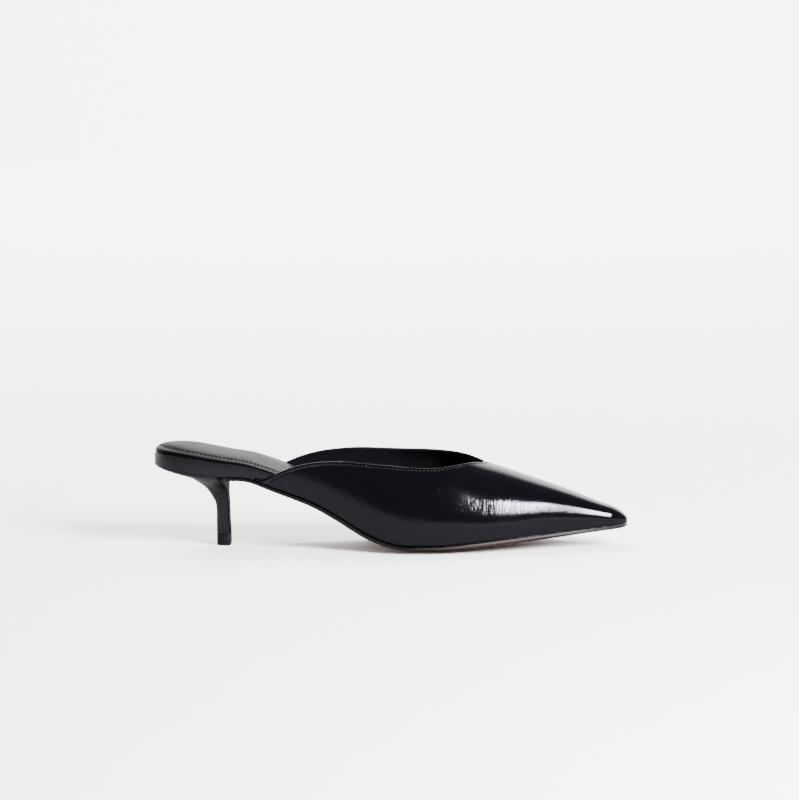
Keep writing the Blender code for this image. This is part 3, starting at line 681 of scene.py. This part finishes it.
# share of LENGTH, height of the board's top, dome and insole edge as shares of their sizes
BOARD_FORM = [
    (0.000, 0.75, 0.70, 2.20),
    (0.010, 0.86, 0.85, 1.85),
    (0.025, 0.945, 0.95, 1.45),
    (0.050, 1.00, 1.00, 1.15),
    (0.080, 1.02, 1.00, 1.00),
    (0.120, 0.99, 0.90, 0.85),
    (0.170, 0.93, 0.75, 0.65),
    (0.205, 0.865, 0.65, 0.54),
    (0.220, 0.88, 0.60, 0.50),
    (0.240, 0.93, 0.52, 0.44),
    (0.260, 0.965, 0.45, 0.40),
    (0.320, 0.95, 0.35, 0.40),
    (0.400, 0.82, 0.25, 0.45),
    (0.460, 0.75, 0.20, 0.50),
    (0.560, 0.76, 0.20, 0.50),
    (0.700, 0.76, 0.20, 0.50),
    (0.850, 0.66, 0.15, 0.50),
    (1.000, 0.50, 0.10, 0.50),
]
board_rise = spline(BOARD_FORM, lambda row: BOARD_HEIGHT * row[1])
dome_rise = spline(BOARD_FORM, lambda row: INSOLE_DOME * row[2])
insole_edge = spline(BOARD_FORM, lambda row: INSOLE_EDGE * row[3])
insole_front = LENGTH * INSOLE_SHARE


def board_top(s):
    return sole_line(s) + board_rise(s / LENGTH)


def plate_stations(front, count):
    """Stations from the back of the seat to front, closest at both round ends."""
    ends = np.linspace(0, math.pi / 2, 30)
    seat = (SEAT_WIDTH / 2) * (1 - np.cos(ends))
    nose = front - NOSE_LENGTH * (1 - np.sin(ends))
    return np.concatenate([seat, np.linspace(seat[-1], nose[0], count)[1:-1], nose])


def plate_plan(side, inset, share, front, stations):
    """Stations, sideways places and shares of rows, each drawn in by its inset and at its share of the width."""
    seat = SEAT_WIDTH / 2
    at_back = 1 - smooth_step(stations, 0, seat)[:, None]
    at_front = smooth_step(stations, front - 2 * NOSE_LENGTH, front)[:, None]
    s = stations[:, None] + inset * (at_back - at_front)
    rounded = round_end(-s, -seat, -inset)
    wide = half_width(s, side, -inset, front - inset) * rounded
    closing = rounded * round_end(s, front - inset - NOSE_LENGTH, front - inset)
    return s, side * wide * share, share * closing


def pad_top(s, y, side, inset):
    """Height of the pad inside its border: the dome falls to the sides and ends, less the stitched grooves."""
    wide = half_width(s, side, -PAD_EDGE, insole_front - PAD_EDGE) * round_end(-s, -SEAT_WIDTH / 2, -PAD_EDGE)
    out = np.clip(np.abs(y) / np.maximum(wide, 1e-6), 0, 1)
    ends = round_end(-s, -PAD_END, -0.0005) * round_end(s, insole_front - PAD_END, insole_front - 0.0005)
    dome = dome_rise(s / LENGTH) * (1 - (PAD_FLAT * out) ** 3) * ends * smooth_step(inset, 0, PAD_EDGE)
    grooves = sum(GROOVE_DEPTH * np.exp(-((inset - row) / GROOVE_WIDTH) ** 2) for row in INSOLE_ROWS)
    return board_top(s) + GAP + insole_edge(s / LENGTH) + dome - grooves


def insole_grid(side, stations):
    """Rows from the middle of the underside round the border to the middle of the top."""
    turn = np.linspace(-math.pi / 2, math.pi / 2, 15)
    bend = np.where(turn < 0, BORDER_TUCK, BORDER) * (1 - np.cos(turn))
    level = np.where(turn < 0, 0.45 * (1 + np.sin(turn)), 0.45 + 0.55 * np.sin(turn))
    last = INSOLE_ROWS[1] + 0.0022
    inward = np.linspace(BORDER, last, 28)[1:]
    across = np.linspace(1, 0, 16)[1:]
    inset = INSOLE_INSET + np.concatenate([[bend[0], bend[0]], bend, inward, np.full(len(across), last)])
    share = np.concatenate([[0, 0.5], np.ones(len(bend) + len(inward)), across])
    s, y, _ = plate_plan(side, inset, share, insole_front, stations)
    z = pad_top(s, y, side, inset - INSOLE_INSET)
    foot = board_top(s) + GAP
    count = 2 + len(bend)
    drop = np.concatenate([[0, 0], level])
    z[:, :count] = foot[:, :count] + (z - foot)[:, :count] * drop
    return np.stack([s - HEEL_SETBACK, y, z], axis=-1)


insole_leather = leather("insole_leather", (0.0080, 0.0078, 0.0105), 0.33, 0.39, 0.00040, 0.00008, 0.15)
insole_stations = plate_stations(insole_front, 150)
insole = sewn("insole_pad", [insole_grid(side, insole_stations) for side in (OUTER, INNER)], [0, 0], [insole_leather])
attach(insole, "root")
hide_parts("insole")


# Stitches of the insole
# The same thread in two rows, from under the vamp round the seat and back.
def insole_line(inset):
    """Line on the insole's top, inset from its outline."""
    parts = []
    stations = plate_stations(LENGTH - VAMP_LENGTH, 400)[:-30]
    for side in (OUTER, INNER):
        row = np.array([INSOLE_INSET + inset])
        s, y, _ = plate_plan(side, row, 1.0, insole_front, stations)
        z = pad_top(s, y, side, inset)
        parts.append(np.stack([s - HEEL_SETBACK, y, z], axis=-1)[:, 0])
    return np.concatenate([parts[0][::-1], parts[1][1:]])


# The same black thread, painted light grey here: a painted glint on the insole's stitches.
insole_thread_painted_glint = plain_material("insole_thread_painted_glint", (0.170, 0.170, 0.185), 0.30)
insole_ground = surface_of(insole)
for number, inset in enumerate(INSOLE_ROWS):
    insole_stitches = laid_stitches(f"insole_stitches_{number}", insole_line(inset), insole_ground, insole_thread_painted_glint)
    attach(insole_stitches, "root")


# Board
# A stiff board wrapped in the heel's leather. Its edge shows as the band between the insole and the
# heel's cup, and as the waist's edge as far as the upper.
BOARD_EDGE = 0.0005
BOARD_TOE_ROOM = 0.0035
cover_leather = leather("cover_leather", (0.0140, 0.0135, 0.0170), 0.24, 0.30, 0.00050, 0.00010, 0.75)
board_front = LENGTH - WALL - BOARD_TOE_ROOM
board_rise_start = UPPER_BACK - 3 * GAP
board_rise_end = UPPER_BACK - GAP


def board_grid(side, stations):
    """Rows from the middle of the underside round the edge to the middle of the top."""
    turn = np.linspace(0, math.pi / 2, 6)
    rounding = BOARD_EDGE * (1 - np.sin(turn))
    ease = (0.15 + 0.85 * smooth_step(stations, HEEL_SETBACK, UPPER_BACK))[:, None]
    row = np.ones((len(stations), 1))
    inset = np.concatenate([
        row * BOARD_EDGE * np.ones(2), ease * rounding, row * rounding[::-1], row * BOARD_EDGE * np.ones(2),
    ], axis=1)
    share = np.concatenate([[0, 0.5], np.ones(12), [0.5, 0]])
    s, y, closing = plate_plan(side, inset, share, board_front, stations)
    lift = (WALL + GAP) * smooth_step(s, board_rise_start, board_rise_end)
    low = sole_top(s, closing) + GAP + lift
    high = board_top(s)
    corner = BOARD_EDGE * (1 - np.cos(turn))
    from_low = ease * np.concatenate([[0, 0], corner, np.zeros(8)])
    from_high = np.concatenate([np.zeros(8), corner[::-1], [0, 0]])
    most = (high - low) * 0.4
    z = np.where(np.arange(16) >= 8, high - np.minimum(from_high, most), low + np.minimum(from_low, most))
    return np.stack([s - HEEL_SETBACK, y, z], axis=-1)


board_stations = np.sort(np.concatenate([plate_stations(board_front, 140), [board_rise_start, board_rise_end]]))
board = sewn("board_cover", [board_grid(side, board_stations) for side in (OUTER, INNER)], [0, 0], [cover_leather])
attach(board, "root")
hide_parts("insole_board")


# Heel
# A moulded heel wrapped in one piece of leather without a seam that shows: a cup under the seat that
# runs down into a slender stem.
STEM_DEPTH = 0.0078
STEM_WIDTH = 0.0094
BREAST_SETBACK = 0.0010
WING_SETBACK = 0.0030
# the breast's columns take a darker, duller copy of the cover: painted shade in the breast's hollow
SHADED_BREAST_COLUMNS = 14         # points of a ring from the middle of the breast to round its corner
HEEL_FLUSH = 0.0001         # the cup's top inside the board's outline
HEEL_KEEL = 0.9
STEM_CORNER = 0.0010
SIDE_STRAIGHT = 0.30
TOP_PIECE_HEIGHT = 0.0062
TOP_PIECE_SEAM = 0.0001
# height of the section's back over the seat's height, reach back from the stem, spread sideways,
# setback of its front, how far it leans with the seat
HEEL_FORM = [
    (0.145, 0.000, 0.000, 0.00, 0.00),
    (0.300, 0.000, 0.005, 0.40, 0.00),
    (0.460, 0.001, 0.012, 0.55, 0.00),
    (0.544, 0.030, 0.025, 0.65, 0.00),
    (0.615, 0.084, 0.045, 0.80, 0.06),
    (0.690, 0.163, 0.110, 0.95, 0.20),
    (0.762, 0.298, 0.330, 1.00, 0.40),
    (0.824, 0.434, 0.580, 1.00, 0.58),
    (0.860, 0.521, 0.720, 1.00, 0.70),
    (0.897, 0.651, 0.830, 1.00, 0.80),
    (0.926, 0.774, 0.905, 1.00, 0.90),
    (0.957, 0.900, 0.965, 1.00, 0.96),
    (0.984, 0.970, 0.993, 1.00, 1.00),
    (1.000, 0.998, 1.000, 1.00, 1.00),
]


def breast_line(front, y):
    """Front of the heel seen from above: nearly flat over the stem, its wings curving back."""
    return front - WING_SETBACK * (np.abs(y) / (SEAT_WIDTH / 2)) ** 2


def heel_ring(front, back, width, keel, inset=0.0):
    """Section of the heel seen from above: breast, rounded corners, sides, and a back that a keel points."""
    half = width / 2 - inset
    front = front - inset
    back = back + inset
    breast_y = (half - STEM_CORNER) * np.linspace(0, 1, 10)[:-1]
    side_x = float(breast_line(front, half)) - STEM_CORNER
    bend = side_x - (side_x - back) * SIDE_STRAIGHT
    corner = np.linspace(0, math.pi / 2, 8)
    corner_front = float(breast_line(front, half - STEM_CORNER)) - side_x
    turn = np.linspace(0, math.pi / 2, 36)
    straight = np.linspace(side_x, bend, 6)[1:-1]
    x = np.concatenate([breast_line(front, breast_y), side_x + corner_front * np.cos(corner), straight, bend - (bend - back) * np.sin(turn)])
    y = np.concatenate([breast_y, half - STEM_CORNER * (1 - np.sin(corner)), np.full(4, half), half * np.abs(np.cos(turn)) ** (1 + keel)])
    return np.concatenate([x, x[-2:0:-1]]), np.concatenate([-y, y[-2:0:-1]])


def ringed(name, rings, materials, breast=0):
    """Closed mesh from rings of the same number of points, its ends closed by strips across.

    The first and last breast columns take the second material, which the heel uses for painted shade.
    """
    grid = np.stack(rings)
    count, around = grid.shape[:2]
    closed = np.concatenate([grid, grid[:, :1]], axis=1)
    half = around // 2
    ends = []
    for ring in (closed[0], closed[-1]):
        ends.append(np.stack([ring[:half + 1], ring[::-1][:half + 1]]))
    column = np.tile(np.arange(around), count - 1)
    kind = np.where((column < breast) | (column >= around - breast), 1, 0)
    return sewn(name, [closed, *ends], [kind, 0, 0], materials)


def seat_under(s):
    return sole_top(s, 0.0)


def heel_mesh(materials):
    """Rings of the heel from the top piece up to the board, with a small rounding under the board."""
    stem_back = HEEL_SETBACK - STEM_DEPTH / 2
    seat_height = float(seat_under(0.0))
    place = [(k, *row) for k, row in enumerate(HEEL_FORM)]
    forms = [spline(place, lambda row, column=column: row[column]) for column in range(1, 6)]
    rings = []
    for at in np.concatenate([np.linspace(0, 3, 30)[:-1], np.linspace(3, len(HEEL_FORM) - 1, 90)]):
        height, reach, spread, setback, lean = (float(form(at)) for form in forms)
        back = stem_back * (1 - reach)
        front = HEEL_SETBACK + STEM_DEPTH / 2 - BREAST_SETBACK * setback
        width = STEM_WIDTH + (SEAT_WIDTH - 2 * HEEL_FLUSH - STEM_WIDTH) * spread
        x, y = heel_ring(front, back, width, HEEL_KEEL * max(1 - spread ** 4, 0) * float(smooth_step(spread, 0.02, 0.3)))
        level = seat_height * height + (float(seat_under(back)) - seat_height) * float(smooth_step(at, 11, 13))
        z = np.maximum(level + lean * (seat_under(x) - seat_under(back)), TOP_PIECE_HEIGHT + TOP_PIECE_SEAM)
        rings.append(np.stack([x - HEEL_SETBACK, y, z], axis=1))
    top = rings[-1]
    middle = np.array([0.020 - HEEL_SETBACK, 0, 0])
    for turn in np.linspace(0, math.pi / 2, 5)[1:]:
        ring = top.copy()
        inward = unit((middle - top) * np.array([1, 1, 0]))
        ring += inward * GAP * 0.3 * (1 - math.cos(turn))
        ring[:, 2] += (GAP - 0.00002) * math.sin(turn)
        rings.append(ring)
    return ringed("heel_cover", rings, materials, SHADED_BREAST_COLUMNS)


# Painted shade: a darker, duller copy of the cover leather, laid on the heel's breast where it lies in shade.
breast_painted_shade = leather("breast_painted_shade", (0.0080, 0.0080, 0.0100), 0.45, 0.55, 0.00050, 0.00010)
breast_painted_shade.node_tree.nodes["Principled BSDF"].inputs["Specular IOR Level"].default_value = 0.10
heel = heel_mesh([cover_leather, breast_painted_shade])
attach(heel, "root")
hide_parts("heel")


# Top piece
# A block of hard black rubber pinned under the stem, its tread's edge rounded.
TREAD_BEVEL = 0.0006
top_rubber = leather("top_rubber", (0.0100, 0.0100, 0.0110), 0.42, 0.55, 0.00035, 0.00006)
rings = []
for turn in np.linspace(0, math.pi / 2, 7):
    x, y = heel_ring(HEEL_SETBACK + STEM_DEPTH / 2, HEEL_SETBACK - STEM_DEPTH / 2, STEM_WIDTH, 0.0, TREAD_BEVEL * (1 - math.sin(turn)))
    rings.append(np.stack([x - HEEL_SETBACK, y, np.full(len(x), TREAD_BEVEL * (1 - math.cos(turn)))], axis=1))
for turn in np.linspace(0, math.pi / 2, 5):
    x, y = heel_ring(HEEL_SETBACK + STEM_DEPTH / 2, HEEL_SETBACK - STEM_DEPTH / 2, STEM_WIDTH, 0.0, 0.00015 * (1 - math.cos(turn)))
    level = TOP_PIECE_HEIGHT - 0.00015 * (1 - math.sin(turn))
    rings.append(np.stack([x - HEEL_SETBACK, y, np.full(len(x), level)], axis=1))
top_piece = ringed("top_lift", rings, [top_rubber])
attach(top_piece, "root")
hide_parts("top_piece")


# Outsole
# A thin resin sole from the heel's breast to the toe. Its upright edge is inked black and polished,
# and the bevel and the tread under it keep the resin's brown.
# Along the shoe the edge is painted a lighter grey from the ball to the toe as a painted highlight, and the bevel near
# black at the waist as painted shade.
SOLE_EDGE = 0.0010
SOLE_BEVEL = 0.0016
BREAST_LIP = 0.0008
BREAST_CURVE = 0.0012
LIP_LENGTH = 0.0040
TREAD_SHARE = 0.42


def outsole_grid(side, stations, start):
    """Rows from the middle of the tread out to the bevel, up the edge and in over the top."""
    tread = np.concatenate([np.linspace(0, TREAD_SHARE, 6), np.linspace(TREAD_SHARE, 1, 16)[1:]])
    bevel = np.linspace(0, 1, 5)[1:]
    inset = np.concatenate([np.full(len(tread), SOLE_BEVEL), SOLE_BEVEL * (1 - bevel), np.zeros(12)])
    share = np.concatenate([tread, np.ones(4 + 4), [1.0, 0.85, 0.7, 0.5, 0.35, 0.2, 0.1, 0.0]])
    nose = LENGTH - NOSE_LENGTH
    s = stations[:, None] - inset * smooth_step(stations, nose, LENGTH)[:, None]
    s = s + BREAST_CURVE * share ** 3 * (1 - smooth_step(stations, start, start + 4 * LIP_LENGTH))[:, None]
    wide = half_width(s, side, WALL + GAP - inset, LENGTH - inset)
    closing = share * round_end(s, LENGTH - inset - NOSE_LENGTH, LENGTH - inset)
    lift = np.clip((closing - TREAD_SHARE) / (1 - TREAD_SHARE), 0, 1) ** 1.6
    curl = BREAST_LIP * (1 - smooth_step(s, start, start + LIP_LENGTH))
    bottom = sole_line(s) + bottom_rise(s / LENGTH) * lift
    top = sole_top(s, closing)
    corner = top - np.minimum(SOLE_EDGE, (top - bottom) * 0.5)
    z = bottom - curl
    first = len(tread)
    z[:, first:first + 4] += ((corner - z)[:, first:first + 4]) * bevel
    edge = np.array([0.25, 0.6, 0.9, 1.0])
    z[:, first + 4:first + 8] = corner[:, first + 4:first + 8] + (top - corner)[:, first + 4:first + 8] * edge
    z[:, first + 8:] = top[:, first + 8:]
    return np.stack([s - HEEL_SETBACK, side * wide * share, z], axis=-1), first


outsole_start = HEEL_SETBACK + STEM_DEPTH / 2 - BREAST_SETBACK + GAP
turn = np.linspace(0, math.pi / 2, 26)
nose_stations = LENGTH - NOSE_LENGTH * (1 - np.sin(turn))
lip_stations = outsole_start + LIP_LENGTH * np.linspace(0, 1, 10) ** 1.5
outsole_stations = np.concatenate([lip_stations, np.linspace(outsole_start + LIP_LENGTH, nose_stations[0], 150)[1:-1], nose_stations])
sole_black = leather("sole_edge_ink", (0.0100, 0.0090, 0.0090), 0.20, 0.30, 0.00080, 0.00005)
sole_brown = leather("sole_resin", (0.1300, 0.0650, 0.0450), 0.38, 0.50, 0.00080, 0.00006)
# place along the shoe and colour of the bevel: near black at the waist as painted shade, the bare resin at the ball,
# darker again toward the toe
BEVEL_RESIN_AND_SHADE = [(0.105, (0.012, 0.008, 0.007)), (0.120, (0.150, 0.070, 0.050)), (0.160, (0.130, 0.065, 0.050)),
             (0.175, (0.030, 0.018, 0.016))]
# the same of the upright edge: black ink, painted a lighter grey from the ball to the toe as a painted highlight
EDGE_INK_AND_HIGHLIGHT = [(0.105, (0.010, 0.009, 0.009)), (0.125, (0.110, 0.095, 0.095)), (0.150, (0.240, 0.220, 0.220)),
            (0.190, (0.300, 0.285, 0.285)), (0.205, (0.140, 0.130, 0.130)), (0.215, (0.010, 0.009, 0.009))]


def colour_and_light_along(name, table):
    """The resin coloured along the shoe by a table of places and colours, which hold ink, painted shade and a painted
    highlight.
    """
    material = leather(name, table[0][1], 0.30, 0.40, 0.00080, 0.00002)
    nodes, links = material.node_tree.nodes, material.node_tree.links
    place = nodes.new("ShaderNodeTexCoord")
    parts = nodes.new("ShaderNodeSeparateXYZ")
    links.new(place.outputs["Object"], parts.inputs["Vector"])
    along = nodes.new("ShaderNodeMapRange")
    start, end = table[0][0], table[-1][0]
    along.inputs["From Min"].default_value = start
    along.inputs["From Max"].default_value = end
    links.new(parts.outputs["X"], along.inputs["Value"])
    ramp = nodes.new("ShaderNodeValToRGB")
    stops = ramp.color_ramp.elements
    for number, (at, colour) in enumerate(table):
        share = (at - start) / (end - start)
        stop = stops[number] if number < 2 else stops.new(share)
        stop.position = share
        stop.color = (*colour, 1.0)
    links.new(along.outputs["Result"], ramp.inputs["Fac"])
    links.new(ramp.outputs["Color"], nodes["Principled BSDF"].inputs["Base Color"])
    return material


sole_bevel = colour_and_light_along("sole_bevel", BEVEL_RESIN_AND_SHADE)
sole_edge = colour_and_light_along("sole_edge", EDGE_INK_AND_HIGHLIGHT)
grids = []
kinds = []
for side in (OUTER, INNER):
    grid, first = outsole_grid(side, outsole_stations, outsole_start)
    column = np.tile(np.arange(grid.shape[1] - 1), grid.shape[0] - 1)
    grids.append(grid)
    kinds.append(np.where(column < first, 1, np.where(column < first + 3, 2, np.where(column < first + 7, 3, 0))))
grids.append(np.stack([grids[0][0], grids[1][0]]))
kinds.append(0)
outsole = sewn("outsole_dressed", grids, kinds, [sole_black, sole_brown, sole_bevel, sole_edge])
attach(outsole, "root")
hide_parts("outsole")


# Floor and backdrop
# A roll of pale matt paper lies under the shoe and sweeps up behind it.
PAPER_FRONT = -1.1
PAPER_BACK = 2.4
PAPER_BEND = 0.9
PAPER_TOP = 2.6
PAPER_WIDTH = 6.0
PAPER_WHITE = 0.82
PAPER_TO_CAMERA = 6.4       # the paper as the camera sees it, next to the polished black
PAPER_RISE = (0.30, 2.70, 2.4, 0.50)    # in reflections: from this height to that, from this white to that
PAPER_BEHIND = (0.15, 0.60)             # where behind the shoe that begins
flat = np.linspace(PAPER_FRONT, PAPER_BACK, 12)
turn = np.linspace(0, math.pi / 2, 24)[1:]
profile_y = np.concatenate([flat, PAPER_BACK + PAPER_BEND * np.sin(turn), [PAPER_BACK + PAPER_BEND]])
profile_z = np.concatenate([0 * flat, PAPER_BEND * (1 - np.cos(turn)), [PAPER_TOP]])
width = np.array([-PAPER_WIDTH / 2, PAPER_WIDTH / 2])
paper_grid = np.stack([
    np.broadcast_to(width, (len(profile_y), 2)),
    np.repeat(profile_y[:, None], 2, axis=1),
    np.repeat(profile_z[:, None], 2, axis=1) - 0.00005,
], axis=-1)
paper_data = bpy.data.meshes.new("paper")
paper_data.from_pydata(paper_grid.reshape(-1, 3).tolist(), [], grid_faces(len(profile_y), 2)[:, ::-1].tolist())
paper_data.shade_smooth()



def paper_material():
    """White paper: brightest to the camera, and in reflections bright low at the back and dim above that."""
    material = plain_material("paper_matt", (0.82, 0.82, 0.83), 0.85)
    nodes, links = material.node_tree.nodes, material.node_tree.links
    nodes["Principled BSDF"].inputs["Specular IOR Level"].default_value = 0.0
    place = nodes.new("ShaderNodeTexCoord")
    parts = nodes.new("ShaderNodeSeparateXYZ")
    links.new(place.outputs["Object"], parts.inputs["Vector"])
    rise = nodes.new("ShaderNodeMapRange")
    rise.interpolation_type = "SMOOTHSTEP"
    for name, value in zip(("From Min", "From Max", "To Min", "To Max"), PAPER_RISE):
        rise.inputs[name].default_value = value
    links.new(parts.outputs["Z"], rise.inputs["Value"])
    behind = nodes.new("ShaderNodeMapRange")
    for name, value in zip(("From Min", "From Max"), PAPER_BEHIND):
        behind.inputs[name].default_value = value
    links.new(parts.outputs["Y"], behind.inputs["Value"])
    seen = nodes.new("ShaderNodeLightPath")
    value = None
    for factor, target in (
        (behind.outputs["Result"], rise.outputs["Result"]),
        (seen.outputs["Is Glossy Ray"], None),
        (seen.outputs["Is Camera Ray"], PAPER_TO_CAMERA),
    ):
        mix = nodes.new("ShaderNodeMix")
        links.new(factor, mix.inputs["Factor"])
        mix.inputs["A"].default_value = PAPER_WHITE
        if target is None:
            links.new(value, mix.inputs["B"])
        else:
            if value:
                links.new(value, mix.inputs["A"])
            if target == PAPER_TO_CAMERA:
                mix.inputs["B"].default_value = target
            else:
                links.new(target, mix.inputs["B"])
        value = mix.outputs["Result"]
    links.new(value, nodes["Principled BSDF"].inputs["Base Color"])
    return material


paper_data.materials.append(paper_material())
paper = bpy.data.objects.new("paper", paper_data)
bpy.context.scene.collection.objects.link(paper)


# Lights
# As the shoe's own reflections show them: a bright upright soft box at the front right, hidden from mirrors,
# a glowing sheet that draws the highlight along the vamp, a wide dim box high at the back, and a wash on the
# paper. The rest is dark.
def soft_box(name, at, toward, size, power, colour=(1.0, 1.0, 1.0)):
    """Rectangular area light of a size (width, height) in metres at a place, facing a point."""
    data = bpy.data.lights.new(name, "AREA")
    data.shape = "RECTANGLE"
    data.size, data.size_y = size
    data.energy = power
    data.color = colour
    thing = bpy.data.objects.new(name, data)
    facing = Vector(toward) - Vector(at)
    thing.matrix_world = Matrix.Translation(at) @ facing.to_track_quat("-Z", "Y").to_matrix().to_4x4()
    bpy.context.scene.collection.objects.link(thing)
    return thing


KEY_AT = (1.150, -0.990, 0.781)
key = soft_box("key", KEY_AT, (0.145, -0.02, 0.025), (0.48, 0.74), 24.0)
key.visible_glossy = False



def glow_panel(name, centre, away, corners, strength):
    """Glowing sheet that only mirrors see, its corners given as azimuth and elevation seen from centre."""
    material = bpy.data.materials.new(name)
    material.use_nodes = True
    shader = material.node_tree.nodes["Principled BSDF"]
    shader.inputs["Base Color"].default_value = (0.0, 0.0, 0.0, 1.0)
    shader.inputs["Emission Color"].default_value = (1.0, 1.0, 1.0, 1.0)
    shader.inputs["Emission Strength"].default_value = strength
    azimuth, elevation = np.radians(np.array(corners, float)).T
    spots = np.stack([
        np.sin(azimuth) * np.cos(elevation), -np.cos(azimuth) * np.cos(elevation), np.sin(elevation),
    ], axis=1)
    data = bpy.data.meshes.new(name)
    data.from_pydata((np.array(centre) + away * spots).tolist(), [], [tuple(range(len(corners)))])
    data.materials.append(material)
    thing = bpy.data.objects.new(name, data)
    bpy.context.scene.collection.objects.link(thing)
    thing.visible_camera = False
    thing.visible_diffuse = False
    thing.visible_shadow = False
    return thing


# azimuth from the camera's side toward the toe, elevation
SHINE_CORNERS = [
    (36.2, 14.0),
    (38.2, 15.5),
    (40.4, 20.0),
    (44.8, 29.0),
    (50.0, 38.0),
    (54.5, 46.0),
    (51.0, 44.0),
    (46.5, 41.5),
    (43.0, 40.0),
    (41.0, 38.0),
    (38.6, 28.0),
]
glow_panel("key_shine", (0.145, -0.02, 0.025), 1.6, SHINE_CORNERS, 140.0)
back = soft_box("back", (-0.60, 0.95, 1.75), (0.08, 0.0, 0.03), (1.3, 0.9), 8.0)
back.visible_glossy = False
wash = soft_box("wash", (0.1, 1.5, 2.3), (0.1, 3.1, 0.9), (3.4, 0.8), 60.0)
wash.visible_glossy = False
world = bpy.data.worlds.new("dim_room")
world.use_nodes = True
world.node_tree.nodes["Background"].inputs["Color"].default_value = (0.13, 0.13, 0.14, 1.0)
world.node_tree.nodes["Background"].inputs["Strength"].default_value = 1.0
bpy.context.scene.world = world


# Camera
# Agrees with the photo's pixels: it stands 5 degrees toward the heel's side of square on, 7.5 degrees
# above the floor, and is rolled a little.
CAMERA_AIM = Vector((0.0966, 0.0, 0.0791))
CAMERA_AWAY = 3.0
CAMERA_AZIMUTH = math.radians(5.0)
CAMERA_RISE = math.radians(7.5)
CAMERA_ROLL = math.radians(0.7)
CAMERA_LENS = 250.06
camera_data = bpy.data.cameras.new("camera")
camera_data.sensor_fit = "HORIZONTAL"
camera_data.sensor_width = 36.0
camera_data.lens = CAMERA_LENS
camera_data.clip_end = 60.0
camera = bpy.data.objects.new("camera", camera_data)
bpy.context.scene.collection.objects.link(camera)
turned = Matrix.Rotation(CAMERA_AZIMUTH, 4, "Z") @ Matrix.Rotation(math.pi / 2 - CAMERA_RISE, 4, "X")
turned = turned @ Matrix.Rotation(-CAMERA_ROLL, 4, "Z")
camera.matrix_world = Matrix.Translation(CAMERA_AIM + turned.to_3x3() @ Vector((0, 0, CAMERA_AWAY))) @ turned
bpy.context.scene.camera = camera
